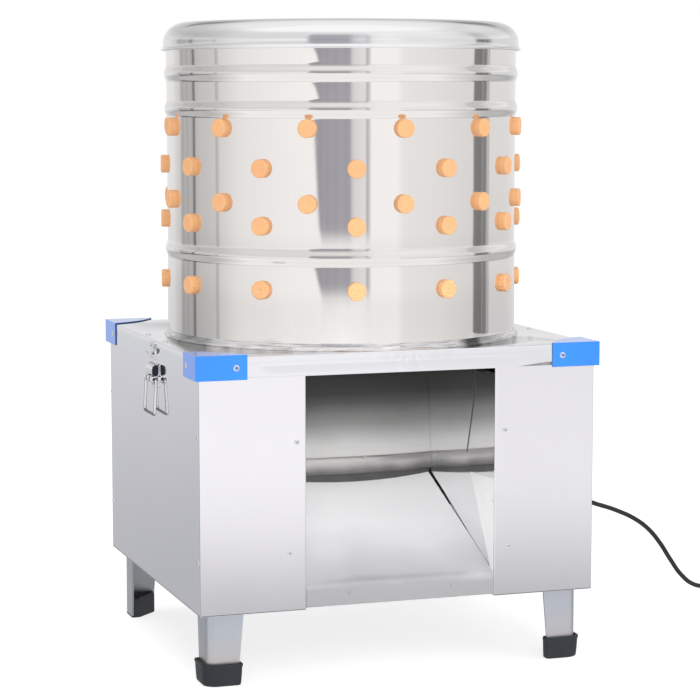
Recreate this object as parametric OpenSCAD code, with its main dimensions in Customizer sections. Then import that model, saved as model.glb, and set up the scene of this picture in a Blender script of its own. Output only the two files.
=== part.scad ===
// Drum plucker: a finger drum on a steel base with a feather chute.
// Millimetres, +Z up, front towards -Y, origin on the floor under the drum.

/* [Base] */
// Width of the base casing
base_w = 558; // [556:1:562]
// Depth of the base casing
base_d = 510; // [508:1:514]
// Height of the casing's lower edge above the floor
base_z = 99; // [97:1:101]
// Width of the chute opening between the front posts
opening_w = 268; // [266:1:270]
// Sheet thickness of the casing
sheet = 1.2; // [1.0:0.1:1.2]
// Height of the folded rim of the top plate
rim_h = 28; // [24:1:28]

/* [Chute] */
// Height of the fold between apron and chute floor
chute_front_z = 129; // [127:1:131]
// Height of the chute floor at its back edge
chute_back_z = 240; // [238:1:240]

/* [Drum] */
// Outside diameter of the drum
drum_d = 492; // [491:0.5:492]
// Sheet thickness of the drum
drum_sheet = 1.2; // [1.0:0.1:1.2]
// How far each bead stands proud
bead_h = 3; // [2:0.5:3]
// Half height of a bead
bead_half = 10.5; // [9:0.5:10.5]
// Fingers in each ring of the drum
finger_cols = 12; // [10:1:12]

/* [Fingers] */
// Diameter of the finger's outer head
head_d = 26; // [24:0.5:26]
// Height of the finger's outer head
head_h = 9; // [8:0.5:9.5]
// Length of the finger inside the wall
finger_len = 70; // [60:1:70]

/* [Drive] */
// Radius of the plucking plate
plate_r = 224; // [220:1:226]
// Diameter of the main shaft
shaft_d = 25; // [24:0.5:25]
// Pitch radius of the driven pulley
driven_r = 102.5; // [102.5]
// Pitch radius of the motor pulley
motor_r = 20.5; // [20.5]
// Distance between main shaft and motor shaft
centre_y = 165; // [163:1:167]

/* [Cord] */
// Diameter of the power cord
cord_d = 7; // [6:0.5:7]

/* [Hidden] */
$fn = 64;

bw2 = base_w / 2;
bd2 = base_d / 2;
op2 = opening_w / 2;
in_x = bw2 - sheet;              // inner face of a side panel
plate_z = 440;                   // top face of the top plate
cas_z = plate_z - sheet - 0.6;   // top edge of the casing
rim_x = bw2 + 3;                 // outer face of the rim
rim_y = bd2 + 3;
drum_r = drum_d / 2;
drum_top = 860;
bead_z = [806, 758, 562.7];
finger_rows = [[733.5, 0], [680.5, 0.5], [634, 0], [604, 0.5], [519, 0.5]];
finger_step = 360 / finger_cols;
finger_seat = drum_r + 0.05;     // face of the head on the wall
shaft_r = shaft_d / 2;
tray_z = 404;
rot_z = 455;                     // top face of the plucking plate

steel = "#c9ccd0";
dark_steel = "#8d9196";
blue = "#3f8fff";
orange = "#fdb674";
black = "#2b2e31";

// A flat outline in Y and Z, thick along X from x0.
module yz(x0, t) { translate([x0, 0, 0]) rotate([90, 0, 90]) linear_extrude(t) children(); }
// A cylinder along X, along Y.
module rod_x(p, r, l) { translate(p) rotate([0, 90, 0]) cylinder(r = r, h = l); }
module rod_y(p, r, l) { translate(p) rotate([-90, 0, 0]) cylinder(r = r, h = l); }
// Outline of a rectangle with rounded corners.
function round_rect(x0, y0, x1, y1, r, n = 6) = [
  for (c = [[x1 - r, y1 - r, 0], [x0 + r, y1 - r, 90], [x0 + r, y0 + r, 180], [x1 - r, y0 + r, 270]])
    for (i = [0:n]) [c[0] + r * cos(c[2] + 90 * i / n), c[1] + r * sin(c[2] + 90 * i / n)]];

// Swept shapes: rings of section points carried along a route.
function unit(v) = v / norm(v);
function route_dir(p, i, closed) = let (n = len(p))
  closed ? unit(p[(i + 1) % n] - p[(i + n - 1) % n])
  : unit(p[min(i + 1, n - 1)] - p[max(i - 1, 0)]);
// up is a direction off the route; a section is a list of [out, up] offsets.
function ring_pts(p, sec, up, closed) = [for (i = [0:len(p) - 1])
  let (t = route_dir(p, i, closed), u = unit(cross(up, t)), v = cross(t, u))
    for (s = sec) p[i] + s[0] * u + s[1] * v];
module sweep(p, sec, up, closed = false) {
  n = len(p);
  m = len(sec);
  last = closed ? n - 1 : n - 2;
  sides = [for (i = [0:last]) for (j = [0:m - 1])
    [i * m + j, i * m + (j + 1) % m, ((i + 1) % n) * m + (j + 1) % m, ((i + 1) % n) * m + j]];
  ends = closed ? [] : [[for (j = [m - 1:-1:0]) j], [for (j = [0:m - 1]) (n - 1) * m + j]];
  polyhedron(ring_pts(p, sec, up, closed), concat([for (f = sides) [f[3], f[2], f[1], f[0]]], [for (f = ends) [for (k = [len(f) - 1:-1:0]) f[k]]]), convexity = 6);
}
function disc(r, n) = [for (i = [0:n - 1]) [r * cos(360 * i / n), r * sin(360 * i / n)]];
// A smooth route through points, k rings for each span.
function smooth(p, k) = let (n = len(p)) concat(
  [for (i = [0:n - 2]) for (j = [0:k - 1]) let (t = j / k, a = p[max(i - 1, 0)], b = p[i], c = p[i + 1], d = p[min(i + 2, n - 1)])
    0.5 * (2 * b + (c - a) * t + (2 * a - 5 * b + 4 * c - d) * t * t + (3 * b - 3 * c + d - a) * t * t * t)],
  [p[n - 1]]);

// ---------------------------------------------------------------- casing
rivet_posts = [[-146.5, 324], [-157, 176.5], [148.5, 326.5], [154, 166.5]];
rivet_sides = [[-246, 336], [246, 336], [-246, 170], [246, 170]];
cover_screws = [for (x = [-268, 268]) for (z = [116, 250, 397]) [x, z]];
gland_at = [bw2, 100, 197];
switch_at = [140, 330];          // Y and Z of the switch

cheek_a = 4.5;                   // angle by which each side of the chute closes towards the back
module casing_sheet() {
  // drawn for the left side
  translate([-bw2, -bd2, base_z]) cube([sheet, base_d, cas_z - base_z]);
  translate([-bw2, -bd2, base_z]) cube([bw2 - op2, sheet, cas_z - base_z]);
  translate([-op2, -bd2, 0]) rotate([0, 0, -cheek_a]) yz(-sheet, sheet) polygon([[0, base_z], [15, base_z], [15, 142], [88, 282], [63, 372], [63, 402], [0, 402]]);
  translate([-bw2, bd2 - sheet, base_z]) cube([20, sheet, cas_z - base_z]);
  translate([-bw2, -bd2, base_z]) cube([13.2, base_d, sheet]);
  translate([-bw2, -bd2, base_z]) cube([bw2 - op2, 14, sheet]);
}
module casing_holes(s) {
  for (r = rivet_posts) if (r[0] * s > 0) rod_y([r[0], -bd2 - 5, r[1]], 2.05, 12);
  for (r = rivet_sides) rod_x([s > 0 ? bw2 - 8 : -bw2 - 8, r[0], r[1]], 2.05, 16);
  for (r = cover_screws) if (r[0] * s > 0) rod_y([r[0], bd2 - 8, r[1]], 2.05, 16);
}
module left_casing() {
  color(steel) difference() { casing_sheet(); casing_holes(-1); }
}
module right_casing() {
  color(steel) difference() {
    mirror([1, 0, 0]) casing_sheet();
    casing_holes(1);
    rod_x([bw2 - 8, gland_at[1], gland_at[2]], 8.3, 16);
    translate([bw2 - 8, switch_at[0] - 30.4, switch_at[1] - 42.4]) cube([16, 60.8, 84.8]);
  }
}
module back_cover() {
  color(steel) difference() {
    translate([-bw2 + 1, bd2, base_z + 1]) cube([base_w - 2, sheet, 311]);
    for (r = cover_screws) rod_y([r[0], bd2 - 4, r[1]], 2.05, 10);
    for (sx = [-1, 1]) for (k = [0:6]) translate([sx * 120 - 45, bd2 - 1, 230 + 18 * k]) cube([90, 4, 6]);
  }
}
module screw(r, h, shank_r, l) {
  // head on z = 0 upwards, shank below
  rotate_extrude() polygon([[0, -l], [shank_r, -l], [shank_r, 0], [r, 0], [r, h * 0.45], [r * 0.72, h * 0.88], [r * 0.3, h], [0, h]]);
}
module casing_screws() {
  color("#a4a8ad") {
    for (r = rivet_posts) translate([r[0], -bd2, r[1]]) rotate([90, 0, 0]) screw(3.6, 1.6, 2, 5);
    for (r = rivet_sides) for (s = [-1, 1]) translate([s * bw2, r[0], r[1]]) rotate([0, s * 90, 0]) screw(3.6, 1.6, 2, 5);
    for (x = [-73, 73]) translate([x, -bd2 + 0.6, 118]) rotate([90, 0, 0]) screw(3.6, 1.6, 2, 5);
    for (r = cover_screws) translate([r[0], bd2 + sheet, r[1]]) rotate([-90, 0, 0]) screw(4, 1.6, 2, 8);
  }
}

// ---------------------------------------------------------------- chute
chute_y = -44;                   // back edge of the chute floor
function floor_z(y) = chute_front_z + (chute_back_z - chute_front_z) * (y + bd2 - 0.6) / (chute_y + bd2 - 0.6);
// half width of the chute floor
function chute_half(y) = op2 - 0.6 - tan(cheek_a) * (y + bd2);
module chute_plate() {
  y0 = -bd2 + 0.6;
  color(steel) difference() {
    intersection() {
      yz(-op2, opening_w) polygon([[-239, base_z + 2], [y0, base_z + 2], [y0, chute_front_z], [chute_y, chute_back_z],
        [chute_y, chute_back_z - 1.3], [y0 + 1.2, chute_front_z - 0.8], [y0 + 1.2, base_z + 3.2], [-239, base_z + 3.2]]);
      linear_extrude(300) polygon([[-chute_half(-260), -260], [chute_half(-260), -260], [chute_half(-40), -40], [-chute_half(-40), -40]]);
    }
    for (x = [-73, 73]) rod_y([x, -bd2 - 5, 118], 2.05, 12);
  }
}
module cheek() {
  // drawn for the right side
  translate([op2, -bd2, 0]) rotate([0, 0, cheek_a]) yz(sheet + 0.2, sheet) polygon([[2.4, 116], [218, 225], [218, 402.2], [2.4, 402.2]]);
}
module chute_cheek_left() { color(steel) mirror([1, 0, 0]) cheek(); }
module chute_cheek_right() { color(steel) cheek(); }
// front face of the bulkhead on the centre line: upright at its foot, leaning back towards the top
function lean(z) = -60 + 12 * pow((z - 243) / 159.2, 2);
bulk_z = [for (i = [0:8]) 402.2 - (402.2 - 270) * i / 8];
bulk_c = 526;                    // centre of the bulkhead's curve seen from above
bulk_a = 11.62;                  // half of the angle that it covers
// A section in Y and Z turned about an upright line far behind the drum.
module turned(sec, a) {
  translate([0, bulk_c, 0]) rotate([0, 0, 270 - a]) rotate_extrude(angle = 2 * a, $fn = 192) polygon([for (q = sec) [bulk_c - q[0], q[1]]]);
}
module bulkhead() {
  color("#b4b7bb") turned(concat(
    [for (z = bulk_z) [lean(z), z]],
    // rolled hem and the return under it
    [[-60.6, 268.6], [-62.6, 267], [-63.4, 258], [-63, 248], [-61.8, 244.2], [-60, 243], [-50, 243], [-50, 244.2], [-58.7, 244.2]],
    [for (i = [8:-1:0]) [lean(bulk_z[i]) + 1.2, bulk_z[i]]]), bulk_a);
}
module chute_seal() {
  color(black) difference() {
    turned([[-58.4, 226], [-58.4, 242.8], [-55.6, 242.8], [-55.6, 226]], bulk_a - 0.25);
    yz(-200, 400) polygon([[-80, floor_z(-80) + 0.3], [-30, floor_z(-30) + 0.3], [-30, 200], [-80, 200]]);
  }
}
module feather_tray() {
  color(steel) difference() {
    translate([-in_x, -bd2 + sheet, tray_z - 1.2]) cube([2 * in_x, base_d - 2 * sheet, 1.2]);
    translate([0, 0, tray_z - 3]) linear_extrude(6) polygon([[-op2 - 3.2, -bd2], [op2 + 3.2, -bd2], [op2 + 3.2, -252], [120, -41], [-120, -41], [-op2 - 3.2, -252]]);
    translate([0, 0, tray_z - 3]) cylinder(r = 58, h = 6);
  }
}

// ---------------------------------------------------------------- frame
bearing_pcd = 40;
module channel(y0, y1, z) {
  // open downwards, web under z
  translate([-in_x, y0, z - 3]) cube([2 * in_x, y1 - y0, 3]);
  for (y = [y0, y1 - 3]) translate([-in_x, y, z - 30]) cube([2 * in_x, 3, 30]);
}
module bearing_holes(z) {
  translate([0, 0, z - 10]) cylinder(r = shaft_r + 2.5, h = 20);
  for (a = [45:90:315]) rotate([0, 0, a]) translate([bearing_pcd, 0, z - 10]) cylinder(r = 4.2, h = 20);
}
module upper_beam() { color(dark_steel) difference() { channel(-35.5, 35.5, 380); bearing_holes(380); } }
module lower_beam() { color(dark_steel) difference() { channel(-38, 80, 186); bearing_holes(186); } }
module bearing(z) {
  difference() {
    rotate_extrude() polygon([[shaft_r + 0.05, z], [50, z], [50, z + 9], [36, z + 11], [33, z + 30], [31, z + 31], [shaft_r + 0.05, z + 31]]);
    for (a = [45:90:315]) rotate([0, 0, a]) translate([bearing_pcd, 0, z - 1]) cylinder(r = 4.2, h = 20);
    // flange cut flat at front and back
    for (sy = [-1, 1]) translate([-60, sy > 0 ? 36.2 : -76.2, z - 1]) cube([120, 40, 12.5]);
    // flats for the bolt heads
    for (a = [45:90:315]) rotate([0, 0, a]) translate([bearing_pcd, 0, z + 8]) cylinder(r = 8, h = 20);
  }
}
module upper_bearing() { color("#5f6a74") bearing(380); }
module lower_bearing() { color("#5f6a74") bearing(186); }
module base_rails() {
  color(dark_steel) for (s = [-1, 1]) difference() {
    translate([s > 0 ? 265.2 : -in_x, -240, base_z + sheet]) cube([in_x - 265.2, 480, 40]);
    translate([s > 0 ? 267.2 : -in_x + 2, -250, base_z + sheet + 2]) cube([in_x - 265.2 - 4, 500, 36]);
    for (sy = [-1, 1]) for (d = [12, 36]) rod_x([s > 0 ? 260 : -269, sy * (leg_y - d), 122], 4.2, 9);
  }
}
// leg angle for the front left corner
leg_x = 265;
leg_y = 236;
leg_top = 142;
module leg_fl() {
  difference() {
    union() {
      translate([0, -leg_y, 0]) rotate([90, 0, 0]) translate([0, 0, -2.5]) linear_extrude(2.5)
        polygon([[-leg_x, 6.2], [-leg_x + 42, 6.2], [-leg_x + 54, leg_top], [-leg_x, leg_top]]);
      yz(-leg_x, 2.5) polygon([[-leg_y, 6.2], [-leg_y + 42, 6.2], [-leg_y + 54, leg_top], [-leg_y, leg_top]]);
    }
    for (d = [12, 36]) rod_x([-leg_x - 4, -leg_y + d, 122], 4.2, 12);
  }
}
module leg_front_left() { color(dark_steel) leg_fl(); }
module leg_front_right() { color(dark_steel) mirror([1, 0, 0]) leg_fl(); }
module leg_rear_left() { color(dark_steel) mirror([0, 1, 0]) leg_fl(); }
module leg_rear_right() { color(dark_steel) mirror([1, 0, 0]) mirror([0, 1, 0]) leg_fl(); }
module foot_fl() {
  // cap that follows the angle of the leg
  cx = -leg_x - 6;
  cy = -leg_y - 6;
  difference() {
    linear_extrude(30) polygon(concat([for (i = [0:6]) [cx + 8 + 8 * cos(180 + 15 * i), cy + 8 + 8 * sin(180 + 15 * i)]],
      [[-leg_x + 47.5, cy], [-leg_x + 47.5, -leg_y + 7.5], [-leg_x + 7.5, -leg_y + 7.5], [-leg_x + 7.5, -leg_y + 47.5], [cx, -leg_y + 47.5]]));
    translate([-leg_x - 0.3, -leg_y - 0.3, 6]) cube([45, 3.1, 40]);
    translate([-leg_x - 0.3, -leg_y - 0.3, 6]) cube([3.1, 45, 40]);
  }
}
module foot_front_left() { color(black) foot_fl(); }
module foot_front_right() { color(black) mirror([1, 0, 0]) foot_fl(); }
module foot_rear_left() { color(black) mirror([0, 1, 0]) foot_fl(); }
module foot_rear_right() { color(black) mirror([1, 0, 0]) mirror([0, 1, 0]) foot_fl(); }

motor_pcd = 74;
module motor_plate() {
  color(dark_steel) difference() {
    union() {
      translate([-in_x, 54, 186]) cube([2 * in_x, 192, 3]);
      translate([-in_x, 82, 158]) cube([3, 158, 28]);
      translate([in_x - 3, 124, 158]) cube([3, 116, 28]);
    }
    // clear of the cord gland
    translate([in_x - 22, 50, 180]) cube([40, 72, 20]);
    translate([0, centre_y, 180]) cylinder(r = 34, h = 20);
    for (a = [45:90:315]) translate([0, centre_y, 180]) rotate([0, 0, a]) translate([motor_pcd, 0, 0]) cylinder(r = 4.2, h = 20);
  }
}
module bolt_down(z, l) {
  // head above z, shank below
  translate([0, 0, z]) cylinder(r = 6.5, h = 5.3, $fn = 6);
  translate([0, 0, z - l]) cylinder(r = 4, h = l + 1);
}
module frame_bolts() {
  color("#b9bdc2") {
    for (z = [380, 186]) for (a = [45:90:315]) rotate([0, 0, a]) translate([bearing_pcd, 0, 0]) bolt_down(z + 8, 16);
    for (a = [45:90:315]) translate([0, centre_y, 0]) rotate([0, 0, a]) translate([motor_pcd, 0, 0]) bolt_down(199, 18);
    for (s = [-1, 1]) for (sy = [-1, 1]) for (d = [12, 36]) translate([s * (leg_x - 2.5), sy * (leg_y - d), 122]) rotate([0, -s * 90, 0]) bolt_down(0, 8);
  }
}

// ---------------------------------------------------------------- motor and belt
module motor_housing() {
  color("#4d5a66") difference() {
    union() {
      translate([0, centre_y, 0]) rotate([0, 0, 180]) rotate_extrude() polygon([[0, 189], [84, 189], [84, 199], [66, 199], [64, 204], [64, 346], [60, 348], [0, 348]]);
      for (a = [37.5:15:322.5]) translate([0, centre_y, 210]) rotate([0, 0, a]) translate([60, -1.5, 0]) cube([12, 3, 126]);
    }
    translate([0, centre_y, 180]) cylinder(r = 8.3, h = 90);
    for (a = [45:90:315]) translate([0, centre_y, 180]) rotate([0, 0, a]) translate([motor_pcd, 0, 0]) cylinder(r = 4.2, h = 30);
    // flat for the terminal box
    translate([62, centre_y - 34, 240]) cube([40, 68, 74]);
  }
}
module motor_fan_cover() {
  color("#3b444d") difference() {
    translate([0, centre_y, 0]) rotate_extrude() polygon([[0, 348.1], [72, 348.1], [72, 372], [66, 378], [0, 378]]);
    for (k = [-3:3]) translate([-46, centre_y + 14 * k - 3, 372]) cube([92, 6, 10]);
  }
}
module terminal_box() {
  color("#30363c") difference() {
    translate([62.2, centre_y - 32, 242]) cube([44, 64, 70]);
    translate([96, centre_y - 24, 236]) cube([4, 48, 10]);
  }
}
module driven_pulley() {
  z = 134;
  color("#8a8f95") difference() {
    rotate_extrude() polygon([[shaft_r + 0.02, z - 18], [30, z - 18], [30, z - 4], [86, z - 4], [86, z - 13], [106, z - 13],
      [106, z - 6.9], [94, z - 3.2], [94, z + 3.2], [106, z + 6.9], [106, z + 13], [86, z + 13], [86, z + 4], [30, z + 4], [30, z + 14], [shaft_r + 0.02, z + 14]]);
    for (a = [0:72:288]) rotate([0, 0, a]) translate([58, 0, z - 10]) cylinder(r = 18, h = 20);
  }
}
module motor_pulley() {
  z = 134;
  color("#8a8f95") translate([0, centre_y, 0]) rotate_extrude() polygon([[8.02, z - 14], [24, z - 14],
    [24, z - 6.9], [12, z - 3.2], [12, z + 3.2], [24, z + 6.9], [24, z + 13], [16, z + 13], [16, z + 24], [8.02, z + 24]]);
}
module motor_shaft() { color("#b9bdc2") translate([0, centre_y, 116]) cylinder(r = 8, h = 150); }
// belt loop: two arcs joined by the straight runs
belt_a = asin((driven_r - motor_r) / centre_y);
module drive_belt() {
  color("#1d1f21") sweep(belt_loop, [[5.1, -3.7], [5.1, 3.7], [-2.7, 6.1], [-2.7, -6.1]], [0, 0, 1], true);
}
// anticlockwise from above: round the back of the small pulley, then round the front of the big one
belt_loop = concat(
  [for (i = [0:14]) let (a = belt_a + (180 - 2 * belt_a) * i / 14) [motor_r * cos(a), centre_y + motor_r * sin(a), 134]],
  [for (i = [0:34]) let (a = 180 - belt_a + (180 + 2 * belt_a) * i / 34) [driven_r * cos(a), driven_r * sin(a), 134]]);

// ---------------------------------------------------------------- rotor
module drive_shaft() {
  color("#b9bdc2") rotate_extrude() polygon([[0, 113], [shaft_r - 1, 113], [shaft_r, 114], [shaft_r, rot_z - 4], [10, rot_z - 4], [10, rot_z + 13], [9, rot_z + 14], [0, rot_z + 14]]);
}
module plate_hub() {
  color("#9a9ea3") difference() {
    rotate_extrude() polygon([[shaft_r + 0.02, rot_z - 34], [27, rot_z - 34], [27, rot_z - 16], [54, rot_z - 14], [54, rot_z - 4.02], [shaft_r + 0.02, rot_z - 4.02]]);
    for (a = [0:90:270]) rotate([0, 0, a]) translate([42, 0, rot_z - 40]) cylinder(r = 4.1, h = 50);
  }
}
plate_rings = [[78, 5, 0], [120, 8, 10], [160, 12, 0]];
module at_plate_fingers() { for (p = plate_rings) for (k = [0:p[1] - 1]) rotate([0, 0, p[2] + 360 * k / p[1]]) translate([p[0], 0, rot_z - 4.05]) children(); }
module plucking_plate() {
  color(steel) difference() {
    rotate_extrude() polygon([[10.1, rot_z - 4], [plate_r - 2, rot_z - 4], [plate_r, rot_z - 2.5], [plate_r, rot_z - 1.5], [plate_r - 2, rot_z], [10.1, rot_z]]);
    at_plate_fingers() translate([0, 0, -4]) cylinder(r = 10, h = 12);
    for (a = [0:90:270]) rotate([0, 0, a]) translate([42, 0, rot_z - 10]) cylinder(r = 4.1, h = 20);
    for (a = [20:90:290]) rotate([0, 0, a]) for (r = [197, 212]) translate([r, 0, rot_z - 10]) cylinder(r = 3.1, h = 20);
  }
}
// A rubber finger: head below z = 0, neck for a wall wall_t thick, ringed finger above.
module finger(wall_t) {
  r = head_d / 2;
  w = wall_t;
  l = finger_len;
  rotate_extrude() polygon([[0, -head_h], [r - 1.6, -head_h], [r, -head_h + 1.8], [r, -0.1], [9.8, -0.1], [9.8, w + 0.5],
    [11.6, w + 0.9], [11.6, w + 6], [10.4, w + 9],
    [10.0, w + 18], [10.9, w + 20], [9.7, w + 22], [9.5, w + 30], [10.3, w + 32], [9.2, w + 34],
    [9.0, w + 42], [9.8, w + 44], [8.7, w + 46], [8.4, w + l - 5], [6.6, w + l - 1], [4, w + l], [0, w + l]]);
}
module plate_fingers() { color(orange) at_plate_fingers() finger(4.1); }
module hub_nut() {
  color("#c4c8cc") difference() {
    union() {
      translate([0, 0, rot_z + 0.02]) cylinder(r = 26, h = 3);
      translate([0, 0, rot_z + 3]) cylinder(r = 17.3, h = 12, $fn = 6);
      translate([0, 0, rot_z + 14]) rotate_extrude() polygon([[0, 0], [14, 0], [13, 4], [10, 7.5], [5, 9.4], [0, 10]]);
    }
    translate([0, 0, rot_z - 1]) cylinder(r = 10.02, h = 16);
  }
}
module hub_bolts() {
  color("#b9bdc2") {
    for (a = [0:90:270]) rotate([0, 0, a]) translate([42, 0, 0]) { bolt_down(rot_z + 0.02, 22); }
    for (a = [20:90:290]) rotate([0, 0, a]) for (r = [197, 212]) translate([r, 0, rot_z + 0.02]) screw(5.5, 3, 3, 9);
  }
}
module sweeper_blades() {
  color(dark_steel) for (a = [20:90:290]) rotate([0, 0, a]) difference() {
    union() {
      translate([188, -9, rot_z - 7.02]) cube([32, 18, 3]);
      translate([188, 6, rot_z - 46]) cube([32, 3, 41.5]);
    }
    for (r = [197, 212]) translate([r, 0, rot_z - 12]) cylinder(r = 3.1, h = 20);
  }
}

// ---------------------------------------------------------------- drum unit
module top_plate() {
  color("#d8dade") difference() {
    translate([-rim_x, -rim_y, plate_z - rim_h]) cube([2 * rim_x, 2 * rim_y, rim_h]);
    translate([-rim_x + sheet, -rim_y + sheet, plate_z - rim_h - 1]) cube([2 * rim_x - 2 * sheet, 2 * rim_y - 2 * sheet, rim_h + 1 - sheet]);
    translate([0, 0, plate_z - 10]) cylinder(r = drum_r + 0.4, h = 20, $fn = 128);
    for (s = [-1, 1]) for (y = [-48, 48]) translate([s * 271, y, plate_z - 10]) cylinder(r = 2.05, h = 20);
    guard_rivet_places() translate([0, 0, -8]) cylinder(r = 2.05, h = 16);
  }
}
// outside of the drum wall, from the skirt to the top edge
function bead(zc) = [for (i = [-4:4]) [drum_r + bead_h * cos(22.5 * i) * cos(22.5 * i), zc + bead_half * i / 4]];
wall_out = concat([[drum_r, 413], [drum_r, plate_z + 0.05], [drum_r + 6.5, plate_z + 0.05], [drum_r + 6.5, plate_z + 2], [drum_r + 4, plate_z + 5.5], [drum_r, plate_z + 8]],
  bead(bead_z[2]), bead(bead_z[1]), bead(bead_z[0]), [[drum_r, drum_top]]);
wall_in = concat([[drum_r - drum_sheet, drum_top]],
  [for (zc = bead_z) each [for (i = [4:-1:-4]) bead(zc)[i + 4] - [drum_sheet, 0]]], [[drum_r - drum_sheet, 413]]);
module at_drum_fingers() {
  for (row = finger_rows) for (k = [0:finger_cols - 1])
    rotate([0, 0, 1.3 + finger_step * (k + row[1])]) translate([0, -finger_seat, row[0]]) rotate([-90, 0, 0]) children();
}
module drum_shell() {
  color("#e6e8eb") difference() {
    rotate_extrude($fn = 128) polygon(concat(wall_out, wall_in));
    at_drum_fingers() translate([0, 0, -8]) cylinder(r = 10, h = 16, $fn = 32);
  }
}
module drum_fingers() { color(orange) at_drum_fingers() finger(1.6); }

gz0 = 410;
gz1 = 443;
guard_len = 70;
module guard_fl() {
  x0 = -rim_x - 3;
  y0 = -rim_y - 3;
  difference() {
    union() {
      translate([0, 0, plate_z]) linear_extrude(gz1 - plate_z) polygon(concat([[x0, y0], [x0 + guard_len, y0]],
        [for (i = [0:8]) let (t = i / 8, b = 9 * sin(180 * t)) [x0 + guard_len - (guard_len - 4) * t + b * 0.7, y0 + 4 + (guard_len - 10) * t + b * 0.7]],
        [[x0, y0 + guard_len - 6]]));
      translate([x0, y0, gz0]) cube([guard_len, 3, gz1 - gz0]);
      translate([x0, y0, gz0]) cube([3, guard_len - 6, gz1 - gz0]);
    }
    rod_y([x0 + 55, y0 - 3, 426], 2.05, 12);
    rod_x([x0 - 3, y0 + 48, 426], 2.05, 12);
  }
}
module guard_front_left() { color(blue) guard_fl(); }
module guard_front_right() { color(blue) mirror([1, 0, 0]) guard_fl(); }
module guard_rear_left() { color(blue) mirror([0, 1, 0]) guard_fl(); }
module guard_rear_right() { color(blue) mirror([1, 0, 0]) mirror([0, 1, 0]) guard_fl(); }
module guard_rivet_places() {
  // +Z of each place points out of the guard
  for (sx = [-1, 1]) for (sy = [-1, 1]) {
    translate([sx * (rim_x + 3 - 55), sy * (rim_y + 3), 426]) rotate([-sy * 90, 0, 0]) children();
    translate([sx * (rim_x + 3), sy * (rim_y + 3 - 48), 426]) rotate([0, sx * 90, 0]) children();
  }
}
module top_plate_fasteners() {
  color("#eceff2") {
    guard_rivet_places() screw(3.9, 1.4, 2, 4.6);
    for (s = [-1, 1]) for (y = [-48, 48]) translate([s * 271, y, plate_z]) screw(3.6, 1.6, 2, 6);
  }
}
latch_y = -24;
module latch_keepers() {
  color(dark_steel) for (s = [-1, 1]) mirror([s > 0 ? 1 : 0, 0, 0]) {
    translate([-rim_x - 1.5, latch_y - 13, 414]) cube([1.5, 26, 24]);
    translate([0, latch_y + 9, 0]) rotate([90, 0, 0]) linear_extrude(18)
      polygon([[-rim_x - 1.4, 418], [-rim_x - 6.5, 421.5], [-rim_x - 9, 425], [-rim_x - 9, 428.6], [-rim_x - 6.6, 428.6], [-rim_x - 5.6, 425.4], [-rim_x - 1.4, 425.4]]);
  }
}

// splash ring: lip, wall, rounded shoulder, rolled mouth
ring_out = concat([[253.4, 838.8], [253.4, 840.4], [250.2, 844.6]],
  [for (i = [0:8]) [218.5 + 31.7 * cos(90 * i / 8), 849.2 + 28.4 * sin(90 * i / 8)]],
  [[204, 877.6], [200.2, 876.2], [198.2, 873], [198.2, 866]]);
ring_in = concat([[199.4, 866], [199.4, 872.6], [201, 875.2], [204.3, 876.4]],
  [for (i = [8:-1:0]) [218.5 + 30.5 * cos(90 * i / 8), 849.2 + 27.2 * sin(90 * i / 8)]],
  [[249, 844.2], [252, 840], [252, 838.8]]);
module splash_ring() { color("#e6e8eb") rotate_extrude($fn = 128) polygon(concat(ring_out, ring_in)); }

// ---------------------------------------------------------------- latches
pivot_x = 285.5;
pivot_z = 387;
module bracket_left() {
  difference() {
    union() {
      translate([-bw2 - 1.5, latch_y - 22, 376]) cube([1.5, 44, 33]);
      rod_y([-pivot_x, latch_y - 22, pivot_z], 5.2, 44);
    }
    rod_y([-pivot_x, latch_y - 30, pivot_z], 2.1, 60);
  }
  translate([-bw2 - 1.4, latch_y, 401.5]) rotate([0, -90, 0]) screw(5, 2.4, 2, 1);
}
module latch_bracket_left() { color(dark_steel) bracket_left(); }
module latch_bracket_right() { color(dark_steel) mirror([1, 0, 0]) bracket_left(); }
function arc_yz(c, r, a0, a1, n) = [for (i = [0:n]) let (a = a0 + (a1 - a0) * i / n) [0, c[0] + r * cos(a), c[1] + r * sin(a)]];
bail_route = concat([[0, latch_y - 11, pivot_z]],
  arc_yz([latch_y - 23.25, pivot_z - 4], 4, 90, 180, 5),
  arc_yz([latch_y - 21.25, 345.75], 6, 180, 270, 6),
  arc_yz([latch_y + 21.25, 345.75], 6, 270, 360, 6),
  arc_yz([latch_y + 23.25, pivot_z - 4], 4, 0, 90, 5),
  [[0, latch_y + 11, pivot_z]]);
module bail(x) { translate([x, 0, 0]) sweep(bail_route, disc(1.75, 12), [1, 0, 0]); }
module latch_bail_left() { color("#c2c5c9") bail(-pivot_x); }
module latch_bail_right() { color("#c2c5c9") bail(pivot_x); }

// ---------------------------------------------------------------- switch
module switch_box() {
  color(black) difference() {
    union() {
      translate([bw2 - 48, switch_at[0] - 30, switch_at[1] - 42]) cube([48.2, 60, 84]);
      translate([bw2, switch_at[0] - 36, switch_at[1] - 48]) cube([3.5, 72, 96]);
    }
    for (z = [-20, 20]) rod_x([bw2 - 16, switch_at[0], switch_at[1] + z], 12.4, 30);
  }
}
module button() { rod_x([bw2 - 10, 0, 0], 12, 18); }
module start_button() { color("#2f9e44") translate([0, switch_at[0], switch_at[1] + 20]) button(); }
module stop_button() { color("#d9352b") translate([0, switch_at[0], switch_at[1] - 20]) button(); }

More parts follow.
